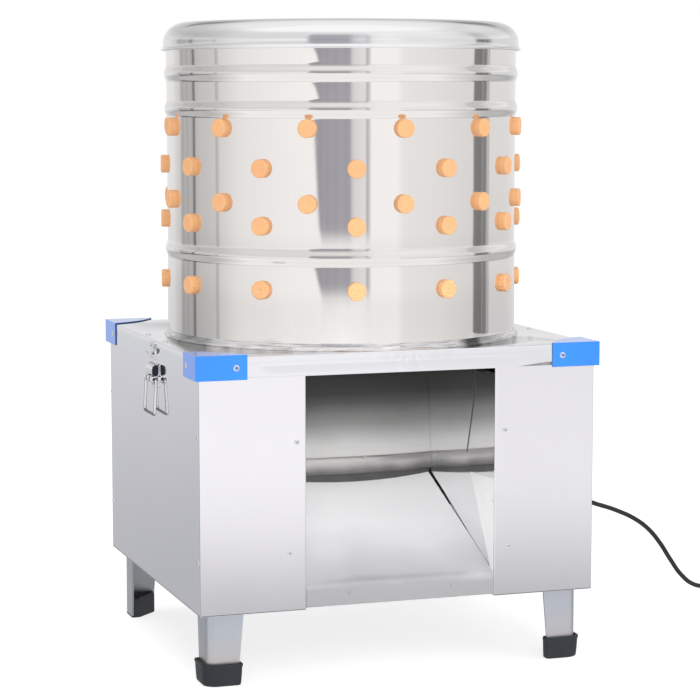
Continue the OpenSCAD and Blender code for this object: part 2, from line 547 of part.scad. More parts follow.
// ---------------------------------------------------------------- cord
coil_c = [718, 147];
lead_pts = [[309, 100, 197], [336, 100, 193], [370, 100, 181], [406, 100, 165.5], [442.4, 100, 149.7], [481.2, 100, 136], [516.3, 100, 119],
  [539.8, 100, 101], [559.4, 100, 78], [576.5, 100, 52.5], [596.2, 100, 26.2], [617.4, 100, 9], [640, 100, 3.7], [676, 100, 3.7], [712, 100, 3.7]];
tail_pts = [[765, 150, 10.8], [765, 162, 11.4], [765, 178, 13.6], [765, 196, 14.5]];
module cable_gland() {
  color(black) translate(gland_at) rotate([0, 90, 0]) rotate_extrude()
    polygon([[0, -7], [11.5, -7], [11.5, -1.3], [8, -1.3], [8, 0], [12, 0], [12, 4], [9.4, 6], [8.6, 12], [6.2, 24], [5, 30], [0, 30]]);
}
module power_cord() {
  color("#151515") {
    sweep(smooth(lead_pts, 2), disc(cord_d / 2, 10), [0, 1, 0]);
    sweep(smooth(tail_pts, 2), disc(cord_d / 2, 10), [0, 0, 1]);
  }
}
module cord_coil() {
  color("#151515") translate([coil_c[0], coil_c[1], 0]) rotate_extrude()
    polygon([[24.9, 1.5], [26.4, 0], [49, 0], [50.5, 1.5], [50.5, 12.8], [49, 14.3], [26.4, 14.3], [24.9, 12.8]]);
}
module mains_plug() {
  color("#1b1b1b") translate([765, 196, 14.5]) rotate([-90, 0, 0]) {
    rotate_extrude() polygon([[0, 0], [5, 0], [6.5, 22], [9, 24], [13, 30], [14, 36], [14, 56], [0, 56]]);
    for (x = [-9.5, 9.5]) translate([x, 0, 55.5]) cylinder(r = 2, h = 19.5);
  }
}

left_casing();
right_casing();
back_cover();
chute_plate();
chute_cheek_left();
chute_cheek_right();
bulkhead();
chute_seal();
feather_tray();
upper_beam();
lower_beam();
base_rails();
leg_front_left();
leg_front_right();
leg_rear_left();
leg_rear_right();
foot_front_left();
foot_front_right();
foot_rear_left();
foot_rear_right();
upper_bearing();
lower_bearing();
motor_plate();
motor_housing();
motor_fan_cover();
terminal_box();
drive_belt();
switch_box();
latch_bracket_left();
latch_bracket_right();
cable_gland();
power_cord();
cord_coil();
mains_plug();
casing_screws();
frame_bolts();
top_plate();
drum_shell();
drum_fingers();
guard_front_left();
guard_front_right();
guard_rear_left();
guard_rear_right();
top_plate_fasteners();
latch_keepers();
splash_ring();
drive_shaft();
plate_hub();
plucking_plate();
plate_fingers();
hub_nut();
hub_bolts();
sweeper_blades();
driven_pulley();
motor_shaft();
motor_pulley();
latch_bail_left();
latch_bail_right();
start_button();
stop_button();
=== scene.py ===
import math

import bmesh
import bpy
from mathutils import Matrix, Vector
from mathutils.geometry import tessellate_polygon


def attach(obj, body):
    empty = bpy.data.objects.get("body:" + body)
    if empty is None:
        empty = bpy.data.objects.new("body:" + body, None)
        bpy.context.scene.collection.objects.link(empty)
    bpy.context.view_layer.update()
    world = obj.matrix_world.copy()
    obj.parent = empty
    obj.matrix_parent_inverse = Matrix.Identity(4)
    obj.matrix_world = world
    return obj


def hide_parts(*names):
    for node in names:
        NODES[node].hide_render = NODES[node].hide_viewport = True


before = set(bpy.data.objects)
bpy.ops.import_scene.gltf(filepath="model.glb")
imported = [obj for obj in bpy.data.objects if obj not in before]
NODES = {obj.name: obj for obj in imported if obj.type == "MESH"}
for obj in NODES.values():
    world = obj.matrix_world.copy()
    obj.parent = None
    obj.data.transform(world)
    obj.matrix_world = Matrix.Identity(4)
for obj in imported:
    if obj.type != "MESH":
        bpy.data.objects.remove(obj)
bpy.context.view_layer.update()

scene = bpy.context.scene
scene.view_settings.view_transform = "Standard"
scene.view_settings.look = "None"
MM = 0.001

# ------------------------------------------------------------------ camera
YAW, PITCH, ROLL = 0.325879, 0.111762, -0.000587
forward = Vector((math.sin(YAW) * math.cos(PITCH), math.cos(YAW) * math.cos(PITCH), -math.sin(PITCH)))
right = Vector((math.cos(YAW), -math.sin(YAW), 0.0))
upward = right.cross(forward)
cam_x = right * math.cos(ROLL) + upward * math.sin(ROLL)
cam_y = upward * math.cos(ROLL) - right * math.sin(ROLL)
camera_data = bpy.data.cameras.new("camera")
camera_data.sensor_width = 36.0
camera_data.lens = 2335.83 * 36.0 / 700.0
camera_data.clip_start = 0.05
camera_data.clip_end = 200.0
camera = bpy.data.objects.new("camera", camera_data)
turn = Matrix((cam_x, cam_y, -forward)).transposed().to_4x4()
turn.translation = Vector((-1.05206, -3.15269, 0.78659))
camera.matrix_world = turn
scene.collection.objects.link(camera)
scene.camera = camera
VIEW_AZ = math.atan2(-1.05206, 3.15269)  # azimuth of the camera, from -Y towards +X


# ------------------------------------------------------------------ materials
class Nodes:
    """A material's node tree with short calls."""

    def __init__(self, name):
        self.m = bpy.data.materials.new(name)
        self.m.use_nodes = True
        self.t = self.m.node_tree
        self.bsdf = self.t.nodes["Principled BSDF"]
        tc = self.t.nodes.new("ShaderNodeTexCoord")
        self.place = tc.outputs["Object"]

    def new(self, kind, **props):
        n = self.t.nodes.new(kind)
        for k, v in props.items():
            setattr(n, k, v)
        return n

    def link(self, a, b):
        self.t.links.new(a, b)

    def mapped(self, scale, rot=(0, 0, 0)):
        n = self.new("ShaderNodeMapping")
        self.link(self.place, n.inputs["Vector"])
        n.inputs["Scale"].default_value = scale
        n.inputs["Rotation"].default_value = rot
        return n.outputs["Vector"]

    def noise(self, scale, detail=3.0, rough=0.5, vector=None, distortion=0.0):
        n = self.new("ShaderNodeTexNoise")
        self.link(vector or self.place, n.inputs["Vector"])
        n.inputs["Scale"].default_value = scale
        n.inputs["Detail"].default_value = detail
        n.inputs["Roughness"].default_value = rough
        n.inputs["Distortion"].default_value = distortion
        return n.outputs["Fac"]

    def ramp(self, fac, stops, mode="LINEAR"):
        n = self.new("ShaderNodeValToRGB")
        n.color_ramp.interpolation = mode
        e = n.color_ramp.elements
        while len(e) < len(stops):
            e.new(0.5)
        for el, (p, c) in zip(e, stops):
            el.position = p
            el.color = (*c, 1.0) if hasattr(c, "__len__") else (c, c, c, 1.0)
        self.link(fac, n.inputs["Fac"])
        return n.outputs["Color"]

    def span(self, fac, lo, hi, a=0.3, b=0.7):
        n = self.new("ShaderNodeMapRange")
        self.link(fac, n.inputs["Value"])
        n.inputs["From Min"].default_value = a
        n.inputs["From Max"].default_value = b
        n.inputs["To Min"].default_value = lo
        n.inputs["To Max"].default_value = hi
        return n.outputs["Result"]

    def add(self, a, b, op="ADD"):
        n = self.new("ShaderNodeMath", operation=op)
        self.link(a, n.inputs[0])
        if isinstance(b, (int, float)):
            n.inputs[1].default_value = b
        else:
            self.link(b, n.inputs[1])
        return n.outputs["Value"]

    def bump(self, height, distance, strength=1.0, after=None):
        n = self.new("ShaderNodeBump")
        n.inputs["Distance"].default_value = distance
        n.inputs["Strength"].default_value = strength
        self.link(height, n.inputs["Height"])
        if after is not None:
            self.link(after, n.inputs["Normal"])
        return n.outputs["Normal"]

    def normal(self, out):
        self.link(out, self.bsdf.inputs["Normal"])

    def set(self, **values):
        for k, v in values.items():
            self.bsdf.inputs[k.replace("_", " ")].default_value = v


def shade(c, k):
    return tuple(min(1.0, x * k) for x in c)


def steel(name, base, rough, spread, wave=0.00022, wave_scale=5.0, grain=None, grain_depth=0.000004, smear=0.02, metallic=1.0):
    """Sheet steel: a broad tone change, faint handling marks, slow waves in the sheet and an optional brushed grain."""
    s = Nodes(name)
    s.set(Metallic=metallic)
    broad = s.noise(2.3, 4.0, 0.55)
    s.link(s.ramp(broad, [(0.3, shade(base, 1.0 - smear)), (0.7, shade(base, 1.0 + smear))]), s.bsdf.inputs["Base Color"])
    marks = s.noise(17.0, 6.0, 0.62, distortion=0.6)
    if grain:
        fine = s.noise(1.0, 5.0, 0.6, vector=s.mapped(grain))
        s.link(s.add(s.span(marks, rough - spread * 0.5, rough + spread * 0.5), s.span(fine, -spread * 0.5, spread * 0.5)), s.bsdf.inputs["Roughness"])
        n = s.bump(fine, grain_depth, 1.0)
    else:
        s.link(s.span(marks, rough - spread, rough + spread), s.bsdf.inputs["Roughness"])
        n = s.bump(marks, 0.000002, 1.0)
    n = s.bump(s.noise(wave_scale, 1.5, 0.4), wave, 1.0, after=n)
    s.normal(n)
    return s.m


def plastic(name, base, rough, spread=0.06, grain=900.0, depth=0.00002, tone=0.06, spec=0.5, coat=0.0):
    s = Nodes(name)
    s.set(Specular_IOR_Level=spec, Coat_Weight=coat, Coat_Roughness=0.12)
    broad = s.noise(24.0, 4.0, 0.6)
    s.link(s.ramp(broad, [(0.3, shade(base, 1.0 - tone)), (0.7, shade(base, 1.0 + tone))]), s.bsdf.inputs["Base Color"])
    fine = s.noise(grain, 3.0, 0.6)
    s.link(s.span(s.noise(60.0, 4.0, 0.6), rough - spread, rough + spread), s.bsdf.inputs["Roughness"])
    s.normal(s.bump(fine, depth, 1.0))
    return s.m


def bulkhead_steel():
    """Duct steel, dulled and darkened towards the top where the plate above shades it."""
    s = Nodes("bulkhead_steel")
    s.set(Metallic=0.15, Specular_IOR_Level=0.2)
    sep_at = s.new("ShaderNodeSeparateXYZ")
    s.link(s.place, sep_at.inputs[0])
    wander = s.span(s.noise(9.0, 3.0, 0.5), -0.004, 0.004)
    height = s.span(s.add(sep_at.outputs["Z"], wander), 0.0, 1.0, 0.260, 0.402)
    s.link(s.ramp(height, [(0.0, (0.53, 0.525, 0.52)), (0.176, (0.465, 0.462, 0.458)), (0.268, (0.350, 0.348, 0.346)), (0.377, (0.222, 0.222, 0.220)), (0.47, (0.168, 0.168, 0.166)), (0.59, (0.080, 0.081, 0.080)), (0.683, (0.045, 0.046, 0.045)), (0.796, (0.037, 0.038, 0.037)), (1.0, (0.032, 0.033, 0.032))]), s.bsdf.inputs["Base Color"])
    marks = s.noise(17.0, 6.0, 0.62, distortion=0.6)
    s.link(s.span(marks, 0.40, 0.50), s.bsdf.inputs["Roughness"])
    s.normal(s.bump(s.noise(6.0, 1.5, 0.4), 0.00012, 1.0, after=s.bump(marks, 0.000002, 1.0)))
    return s.m


BULK = bulkhead_steel()
DRUM = steel("drum_mirror_steel", (0.905, 0.872, 0.850), 0.055, 0.02, wave=0.00016, wave_scale=6.0)
RING = steel("ring_polished_steel", (0.90, 0.895, 0.91), 0.10, 0.03, wave=0.00012, wave_scale=5.0)
PANEL = steel("panel_steel", (0.905, 0.888, 0.932), 0.075, 0.015, wave=0.00010, wave_scale=3.4, grain=(900.0, 900.0, 6.0), grain_depth=0.0000005)
def plate_steel():
    """Top plate: flat polished sheet, drawn into small ripples where the drum is let into it."""
    s = Nodes("top_plate_steel")
    s.set(Metallic=1.0)
    s.link(s.ramp(s.noise(2.3, 4.0, 0.55), [(0.3, (0.885, 0.888, 0.925)), (0.7, (0.905, 0.905, 0.94))]), s.bsdf.inputs["Base Color"])
    marks = s.noise(17.0, 6.0, 0.62, distortion=0.6)
    s.link(s.span(marks, 0.07, 0.12), s.bsdf.inputs["Roughness"])
    flat = s.new("ShaderNodeVectorMath", operation="MULTIPLY")
    s.link(s.place, flat.inputs[0])
    flat.inputs[1].default_value = (1.0, 1.0, 0.0)
    far = s.new("ShaderNodeVectorMath", operation="LENGTH")
    s.link(flat.outputs[0], far.inputs[0])
    near = s.span(far.outputs["Value"], 1.0, 0.0, 0.252, 0.268)
    ripple = s.add(s.noise(30.0, 2.0, 0.5, distortion=0.8), near, "MULTIPLY")
    s.normal(s.bump(ripple, 0.0010, 1.0, after=s.bump(s.noise(3.0, 1.5, 0.4), 0.00010, 1.0)))
    return s.m


PLATE = plate_steel()
DISC = steel("plucking_plate_steel", (0.88, 0.88, 0.90), 0.16, 0.04, wave=0.00008, wave_scale=6.0)
# paler web steel: its extra brightness is painted light
WEB_LIT = steel("web_steel_painted_light", (0.985, 0.98, 0.985), 0.24, 0.04, wave=0.00006, wave_scale=6.0, metallic=0.35)


def foot_steel():
    """Drawn-out foot of the drum, with the long streaks of the roller round it; its colour carries painted reflections:
    light and dark streaks, and darker patches at two places round it.
    """
    s = Nodes("drum_foot_steel")
    s.set(Metallic=1.0)
    part = s.new("ShaderNodeSeparateXYZ")
    s.link(s.place, part.inputs[0])
    angle = s.new("ShaderNodeMath", operation="ARCTAN2")
    s.link(part.outputs["X"], angle.inputs[0])
    s.link(part.outputs["Y"], angle.inputs[1])
    turned_at = s.new("ShaderNodeCombineXYZ")
    s.link(s.add(angle.outputs["Value"], 9.0, "MULTIPLY"), turned_at.inputs[0])
    s.link(s.add(part.outputs["Z"], 420.0, "MULTIPLY"), turned_at.inputs[1])
    streaky = s.noise(1.0, 4.0, 0.6, vector=turned_at.outputs[0], distortion=0.3)
    # roller streaks in the colour, light to dark: partly real streaks, partly painted reflection
    streaks_and_painted_reflection = s.ramp(streaky, [(0.34, (0.50, 0.49, 0.495)), (0.47, (0.80, 0.785, 0.79)), (0.62, (0.97, 0.955, 0.96))])
    round_it = s.span(angle.outputs["Value"], 0.0, 1.0, -math.pi, math.pi)
    # painted dark reflections at two places round the foot
    painted_dark_reflection = s.ramp(round_it, [(0.0, 1.0), (0.174, 1.0), (0.184, 0.62), (0.226, 0.56), (0.242, 0.85), (0.26, 1.0), (0.866, 1.0), (0.876, 0.78), (0.910, 0.62), (0.916, 0.14), (0.931, 0.14), (0.940, 0.9)])
    both = s.new("ShaderNodeMix", data_type="RGBA", blend_type="MULTIPLY")
    both.inputs[0].default_value = 1.0
    s.link(streaks_and_painted_reflection, both.inputs[6])
    s.link(painted_dark_reflection, both.inputs[7])
    s.link(both.outputs[2], s.bsdf.inputs["Base Color"])
    s.link(s.span(streaky, 0.34, 0.24), s.bsdf.inputs["Roughness"])
    s.normal(s.bump(streaky, 0.0004, 1.0))
    return s.m


FOOT = foot_steel()
CHEEK = steel("cheek_steel", (0.945, 0.94, 0.945), 0.06, 0.02, wave=0.00010, wave_scale=6.0)


def graded(name, axis, a, b, stops, rough, spread, metallic, wave=0.0001, wave_scale=5.0):
    """Steel whose tone changes slowly along one axis of the piece."""
    s = Nodes(name)
    s.set(Metallic=metallic)
    sep_at = s.new("ShaderNodeSeparateXYZ")
    s.link(s.place, sep_at.inputs[0])
    wander = s.span(s.noise(7.0, 3.0, 0.5), -0.05 * (b - a), 0.05 * (b - a))
    s.link(s.ramp(s.span(s.add(sep_at.outputs[axis], wander), 0.0, 1.0, a, b), stops), s.bsdf.inputs["Base Color"])
    marks = s.noise(17.0, 6.0, 0.62, distortion=0.6)
    s.link(s.span(marks, rough - spread, rough + spread), s.bsdf.inputs["Roughness"])
    s.normal(s.bump(s.noise(wave_scale, 1.5, 0.4), wave, 1.0, after=s.bump(marks, 0.000002, 1.0)))
    return s.m


# chute steel darker towards the front and darkest on the apron: painted shade
CHUTE = graded("chute_steel", "Z", 0.100, 0.240, [(0.0, (0.295, 0.295, 0.308)), (0.17, (0.305, 0.305, 0.318)), (0.225, (0.40, 0.40, 0.415)), (0.26, (0.52, 0.52, 0.537)), (0.36, (0.61, 0.61, 0.628)), (0.49, (0.79, 0.79, 0.81)), (0.62, (0.92, 0.92, 0.94)), (1.0, (0.97, 0.97, 0.985))], 0.40, 0.04, 0.20)


def hem_steel():
    """Rolled hem of the bulkhead: pale above, in shade along its lower edge, darker to the right."""
    s = Nodes("hem_steel")
    s.set(Metallic=0.9)
    part = s.new("ShaderNodeSeparateXYZ")
    s.link(s.place, part.inputs[0])
    wander = s.span(s.noise(9.0, 3.0, 0.5), -0.02, 0.02)
    across = s.ramp(s.span(s.add(part.outputs["X"], wander), 0.0, 1.0, -0.12, 0.12), [(0.0, (0.58, 0.565, 0.56)), (0.45, (0.56, 0.545, 0.54)), (0.78, (0.56, 0.54, 0.535)), (1.0, (0.44, 0.43, 0.43))])
    dip = s.span(s.noise(24.0, 3.0, 0.5), -0.0022, 0.0022)
    down = s.ramp(s.span(s.add(part.outputs["Z"], dip), 0.0, 1.0, 0.243, 0.269), [(0.0, 0.22), (0.25, 0.42), (0.52, 0.85), (0.75, 1.05), (1.0, 1.1)])
    both = s.new("ShaderNodeMix", data_type="RGBA", blend_type="MULTIPLY")
    both.inputs[0].default_value = 1.0
    s.link(across, both.inputs[6])
    s.link(down, both.inputs[7])
    s.link(both.outputs[2], s.bsdf.inputs["Base Color"])
    s.link(s.span(s.noise(17.0, 6.0, 0.62, distortion=0.6), 0.20, 0.30), s.bsdf.inputs["Roughness"])
    s.normal(s.bump(s.noise(14.0, 1.5, 0.4), 0.0001, 1.0))
    return s.m


HEM = hem_steel()
# leg steel bluish grey towards the top and warmer grey near the foot: painted reflection
LEG = graded("leg_steel", "Z", 0.03, 0.10, [(0.0, (0.54, 0.52, 0.53)), (0.25, (0.54, 0.53, 0.56)), (0.6, (0.50, 0.525, 0.585)), (1.0, (0.51, 0.535, 0.595))], 0.32, 0.04, 0.8, 0.00004, 9.0)
# dark copy of the leg steel for the legs' inner faces: painted shade
LEG_IN_SHADE = steel("leg_inside_painted_shade_steel", (0.27, 0.28, 0.295), 0.30, 0.06, wave=0.00004, wave_scale=12.0, smear=0.12)
FRAME = steel("frame_zinc_steel", (0.60, 0.61, 0.63), 0.34, 0.10, wave=0.00004, wave_scale=30.0, smear=0.14)
BRIGHT = steel("bright_steel", (0.84, 0.84, 0.85), 0.14, 0.05, wave=0.00001, wave_scale=90.0)
HARDWARE = steel("latch_steel", (0.62, 0.63, 0.65), 0.22, 0.07, wave=0.00002, wave_scale=60.0, smear=0.08)
# dark copy for latch faces turned back to the panel: painted shade
SHADED = steel("latch_painted_shade_steel", (0.035, 0.042, 0.055), 0.30, 0.07, wave=0.00002, wave_scale=60.0, smear=0.1)


def wire_steel():
    """Drawn wire: a painted highlight along its middle and painted shade towards both edges, set by the facing angle.
    """
    s = Nodes("wire_steel")
    s.set(Metallic=1.0)
    lw = s.new("ShaderNodeLayerWeight")
    lw.inputs["Blend"].default_value = 0.5
    # noise that wobbles the edges of the painted highlight
    highlight_wobble = s.span(s.noise(160.0, 3.0, 0.6), -0.05, 0.05)
    s.link(s.ramp(s.add(lw.outputs["Facing"], highlight_wobble), [(0.12, (0.94, 0.94, 0.95)), (0.34, (0.62, 0.62, 0.63)), (0.62, (0.10, 0.10, 0.11)), (1.0, (0.03, 0.03, 0.035))]), s.bsdf.inputs["Base Color"])
    s.link(s.span(s.noise(90.0, 4.0, 0.6), 0.14, 0.24), s.bsdf.inputs["Roughness"])
    return s.m


WIRE = wire_steel()
CAST = steel("cast_grey_iron", (0.22, 0.25, 0.28), 0.5, 0.1, wave=0.00010, wave_scale=260.0, smear=0.15, metallic=0.35)
MOTOR = steel("motor_paint", (0.13, 0.16, 0.19), 0.42, 0.08, wave=0.00005, wave_scale=420.0, smear=0.12, metallic=0.25)
ORANGE = plastic("finger_rubber", (0.86, 0.45, 0.212), 0.52, 0.06, grain=700.0, depth=0.00003, tone=0.05, spec=0.35)
BLUE = plastic("guard_plastic", (0.014, 0.215, 0.90), 0.16, 0.03, grain=500.0, depth=0.000002, tone=0.03, spec=0.3, coat=0.9)
# dark navy copy of the guard plastic for holes and inner edges: painted shade
NAVY_SHADE = plastic("guard_plastic_painted_shade", (0.022, 0.062, 0.19), 0.45, 0.05, grain=1100.0, depth=0.00001, tone=0.08, spec=0.3)
RUBBER = plastic("foot_rubber", (0.0155, 0.0195, 0.0245), 0.50, 0.07, grain=800.0, depth=0.00003, tone=0.18, spec=0.4)
SEAL = plastic("seal_rubber", (0.060, 0.058, 0.058), 0.46, 0.08, grain=500.0, depth=0.00004, tone=0.2, spec=0.4)
CORD = plastic("cord_jacket", (0.010, 0.010, 0.011), 0.42, 0.07, grain=1400.0, depth=0.00002, tone=0.2, spec=0.45)
BLACK = plastic("switch_plastic", (0.018, 0.019, 0.021), 0.40, 0.06, grain=1500.0, depth=0.00002, tone=0.15, spec=0.45)
GREEN = plastic("start_button_plastic", (0.03, 0.36, 0.075), 0.32, 0.05, tone=0.05)
RED = plastic("stop_button_plastic", (0.62, 0.025, 0.02), 0.32, 0.05, tone=0.05)
# dark grey strip under the rim's edge: painted shade of the gap
GAP_SHADE = plastic("rim_gap_painted_shade", (0.27, 0.262, 0.25), 0.8, 0.06, grain=900.0, depth=0.00008, tone=0.2, spec=0.2)
BELT = plastic("belt_rubber", (0.016, 0.016, 0.017), 0.6, 0.08, grain=350.0, depth=0.00006, tone=0.2, spec=0.3)
TIE = plastic("tie_fabric", (0.020, 0.020, 0.022), 0.8, 0.08, grain=2600.0, depth=0.00012, tone=0.25, spec=0.2)


# ------------------------------------------------------------------ mesh building, in millimetres
class Build:
    """Points and faces of one piece."""

    def __init__(self):
        self.v, self.f, self.m = [], [], []

    def add(self, verts, faces, mat=0, M=None):
        k = len(self.v)
        for p in verts:
            self.v.append(tuple(M @ Vector(p)) if M is not None else tuple(p))
        for f in faces:
            self.f.append([i + k for i in f])
            self.m.append(mat)
        return self

    def loft(self, loops, mat=0, closed=True, ring=False, cap0=False, cap1=False, M=None):
        """Quads between loops of equal length. closed joins each loop's ends, ring joins the last loop to the first."""
        n = len(loops[0])
        pts = [p for l in loops for p in l]
        fs = []
        count = len(loops)
        for i in range(count if ring else count - 1):
            a, b = i * n, ((i + 1) % count) * n
            for j in range(n if closed else n - 1):
                k = (j + 1) % n
                fs.append([a + j, a + k, b + k, b + j])
        if cap0:
            fs.append(list(range(n - 1, -1, -1)))
        if cap1:
            fs.append([(count - 1) * n + j for j in range(n)])
        return self.add(pts, fs, mat, M)

    def lathe(self, prof, n=64, mat=0, M=None, ring=False):
        loops = [[(r * math.cos(2 * math.pi * j / n), r * math.sin(2 * math.pi * j / n), z) for j in range(n)] for r, z in prof]
        return self.loft(loops, mat, True, ring, M=M)

    def tube(self, path, r, n=14, mat=0, M=None, up=Vector((1, 0, 0))):
        pts = [Vector(p) for p in path]
        loops = []
        for i, p in enumerate(pts):
            t = (pts[min(i + 1, len(pts) - 1)] - pts[max(i - 1, 0)]).normalized()
            u = up.cross(t)
            u = u.normalized() if u.length > 1e-6 else Vector((0, 0, 1))
            w = t.cross(u)
            loops.append([tuple(p + r * (math.cos(2 * math.pi * j / n) * u + math.sin(2 * math.pi * j / n) * w)) for j in range(n)])
        return self.loft(loops, mat, True, False, True, True, M)

    def strip(self, line, t, a0, a1, at, mat=0, M=None, cuts=1):
        """A sheet that follows a flat line, t thick to its left, from a0 to a1 across; at(u, v, a) places a point."""
        inner = offset(line, t)
        loop = list(line) + inner[::-1]
        m, h = len(loop), len(line)
        steps = [a0 + (a1 - a0) * i / cuts for i in range(cuts + 1)]
        pts = [at(u, v, a) for a in steps for u, v in loop]
        fs = []
        for i in range(cuts):
            for j in range(m):
                k = (j + 1) % m
                fs.append([i * m + j, i * m + k, (i + 1) * m + k, (i + 1) * m + j])
        for base in (0, cuts * m):
            for j in range(h - 1):
                fs.append([base + j, base + j + 1, base + m - 2 - j, base + m - 1 - j])
        return self.add(pts, fs, mat, M)

    def plate(self, outline, t, at, holes=(), mat=0, M=None):
        """A flat sheet with holes; at(u, v, a) places a point, a from 0 to t."""
        rings = [list(outline)] + [list(h) for h in holes]
        flat = [p for r in rings for p in r]
        n = len(flat)
        tris = tessellate_polygon([[Vector((u, v, 0)) for u, v in r] for r in rings])
        pts = [at(u, v, 0) for u, v in flat] + [at(u, v, t) for u, v in flat]
        fs = [list(f) for f in tris] + [[i + n for i in f[::-1]] for f in tris]
        k = 0
        for r in rings:
            m = len(r)
            for j in range(m):
                a, b = k + j, k + (j + 1) % m
                fs.append([a, b, b + n, a + n])
            k += m
        return self.add(pts, fs, mat, M)

    def obj(self, name, mats, body, nodes=(), sharp=32.0, bevel=None, segs=2, paint=None):
        bm = bmesh.new()
        vs = [bm.verts.new((x * MM, y * MM, z * MM)) for x, y, z in self.v]
        for f, mi in zip(self.f, self.m):
            ids = []
            for i in f:
                if not ids or vs[i] is not ids[-1]:
                    ids.append(vs[i])
            if len(set(ids)) < 3:
                continue
            try:
                face = bm.faces.new(ids)
            except ValueError:
                continue
            face.material_index = mi
            face.smooth = True
        bmesh.ops.remove_doubles(bm, verts=bm.verts, dist=1.5e-7)
        bmesh.ops.recalc_face_normals(bm, faces=bm.faces)
        if paint is not None:
            for face in bm.faces:
                k = paint(face.calc_center_median() * 1000.0, face.normal)
                face.material_index = face.material_index if k is None else k
        me = bpy.data.meshes.new(name)
        bm.to_mesh(me)
        bm.free()
        for m in mats:
            me.materials.append(m)
        if bevel is None:
            me.set_sharp_from_angle(angle=math.radians(sharp))
        o = bpy.data.objects.new(name, me)
        scene.collection.objects.link(o)
        if bevel is not None:
            b = o.modifiers.new("edge", "BEVEL")
            b.width = bevel * MM
            b.segments = segs
            b.limit_method = "ANGLE"
            b.angle_limit = math.radians(sharp)
            b.harden_normals = True
            b.use_clamp_overlap = True
        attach(o, body)
        if nodes:
            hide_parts(*nodes)
        return o


def offset(line, d):
    out = []
    n = len(line)
    for i in range(n):
        a, b, c = Vector(line[max(i - 1, 0)]), Vector(line[i]), Vector(line[min(i + 1, n - 1)])
        t1 = (b - a).normalized() if i > 0 else (c - b).normalized()
        t2 = (c - b).normalized() if i < n - 1 else t1
        n1, n2 = Vector((-t1.y, t1.x)), Vector((-t2.y, t2.x))
        m = n1 + n2
        m = m / m.length_squared * 2.0
        out.append((b.x + m.x * d, b.y + m.y * d))
    return out


def fillet(pts, r, seg=6, closed=False):
    """Round the inner corners of a line; r is one radius or one for each corner."""
    n = len(pts)
    out = []
    for i in range(n):
        if not closed and i in (0, n - 1):
            out.append(tuple(pts[i]))
            continue
        rad = r[i] if hasattr(r, "__len__") else r
        a, b, c = Vector(pts[(i - 1) % n]), Vector(pts[i]), Vector(pts[(i + 1) % n])
        u, w = (a - b), (c - b)
        lu, lw = u.length, w.length
        u.normalize()
        w.normalize()
        ang = u.angle(w)
        if rad <= 0 or ang > math.pi - 0.01:
            out.append(tuple(b))
            continue
        d = min(rad / math.tan(ang / 2), lu * 0.499, lw * 0.499)
        rr = d * math.tan(ang / 2)
        centre = b + (u + w).normalized() * (rr / math.sin(ang / 2))
        p, q = b + u * d, b + w * d
        v0, v1 = p - centre, q - centre
        full = v0.angle_signed(v1)
        for k in range(seg + 1):
            t = full * k / seg
            co, si = math.cos(t), math.sin(t)
            # angle_signed is clockwise-positive
            x = v0.x * co + v0.y * si
            y = -v0.x * si + v0.y * co
            out.append((centre.x + x, centre.y + y))
    return out


def rounded_rect(x0, y0, x1, y1, r, k=6):
    return fillet([(x0, y0), (x1, y0), (x1, y1), (x0, y1)], r, k, closed=True)


def perimeter(hx, hy, r, side=56, k=8):
    """Points round a rounded rectangle, evenly spread on the sides, anticlockwise from the front side's left end."""
    pts = []
    corners = [((hx - r, -hy + r), -90), ((hx - r, hy - r), 0), ((-hx + r, hy - r), 90), ((-hx + r, -hy + r), 180)]
    starts = [(-hx + r, -hy), (hx, -hy + r), (hx - r, hy), (-hx, hy - r)]
    ends = [(hx - r, -hy), (hx, hy - r), (-hx + r, hy), (-hx, -hy + r)]
    for (c, a0), s, e in zip(corners, starts, ends):
        for i in range(side):
            t = i / side
            pts.append((s[0] + (e[0] - s[0]) * t, s[1] + (e[1] - s[1]) * t))
        for i in range(k):
            a = math.radians(a0 + 90 * i / k)
            pts.append((c[0] + r * math.cos(a), c[1] + r * math.sin(a)))
    return pts


def arc(cx, cz, r, a0, a1, n, rz=None):
    rz = r if rz is None else rz
    return [(cx + r * math.cos(math.radians(a0 + (a1 - a0) * i / n)), cz + rz * math.sin(math.radians(a0 + (a1 - a0) * i / n))) for i in range(n + 1)]


def smoothstep(t):
    t = max(0.0, min(1.0, t))
    return t * t * (3 - 2 * t)


def rot(axis, deg):
    return Matrix.Rotation(math.radians(deg), 4, axis)


def move(x, y, z):
    return Matrix.Translation((x, y, z))


MIRROR_X = Matrix.Scale(-1, 4, (1, 0, 0))
MIRROR_Y = Matrix.Scale(-1, 4, (0, 1, 0))


def xz(y_axis=False):
    return lambda u, v, a: (u, a, v)


def at_yz(u, v, a):
    return (a, u, v)


def at_xy(u, v, a):
    return (u, v, a)


def at_xz(u, v, a):
    return (u, a, v)


# ------------------------------------------------------------------ cord
COIL_X, COIL_Y, COIL_R, COIL_TURNS, COIL_PITCH = 718.0, 147.0, 47.0, 5.25, 7.1
cord_points = [(309, 100, 197), (336, 100, 193), (370, 100, 181), (406, 100, 165.5), (442.4, 100, 149.7), (481.2, 100, 136),
               (516.3, 100, 119), (539.8, 100, 101), (559.4, 100, 78), (576.5, 100, 52.5), (596.2, 100, 26.2), (617.4, 100, 9.6),
               (640, 100, 4.5), (676, 100, 3.9)]
half = COIL_TURNS / 2
for i in range(int(COIL_TURNS * 24) + 1):
    t = COIL_TURNS * i / int(COIL_TURNS * 24)
    d = abs(t - half)
    d = d if d > 0.12 else (0.12 * 0.12 + d * d) / 0.24
    r = COIL_R - COIL_PITCH * (half - d)
    a = math.radians(-90 + 360 * t)
    cord_points.append((COIL_X + r * math.cos(a), COIL_Y + r * math.sin(a), 3.7 + 7.1 * smoothstep((t - half + 0.25) / 0.5)))
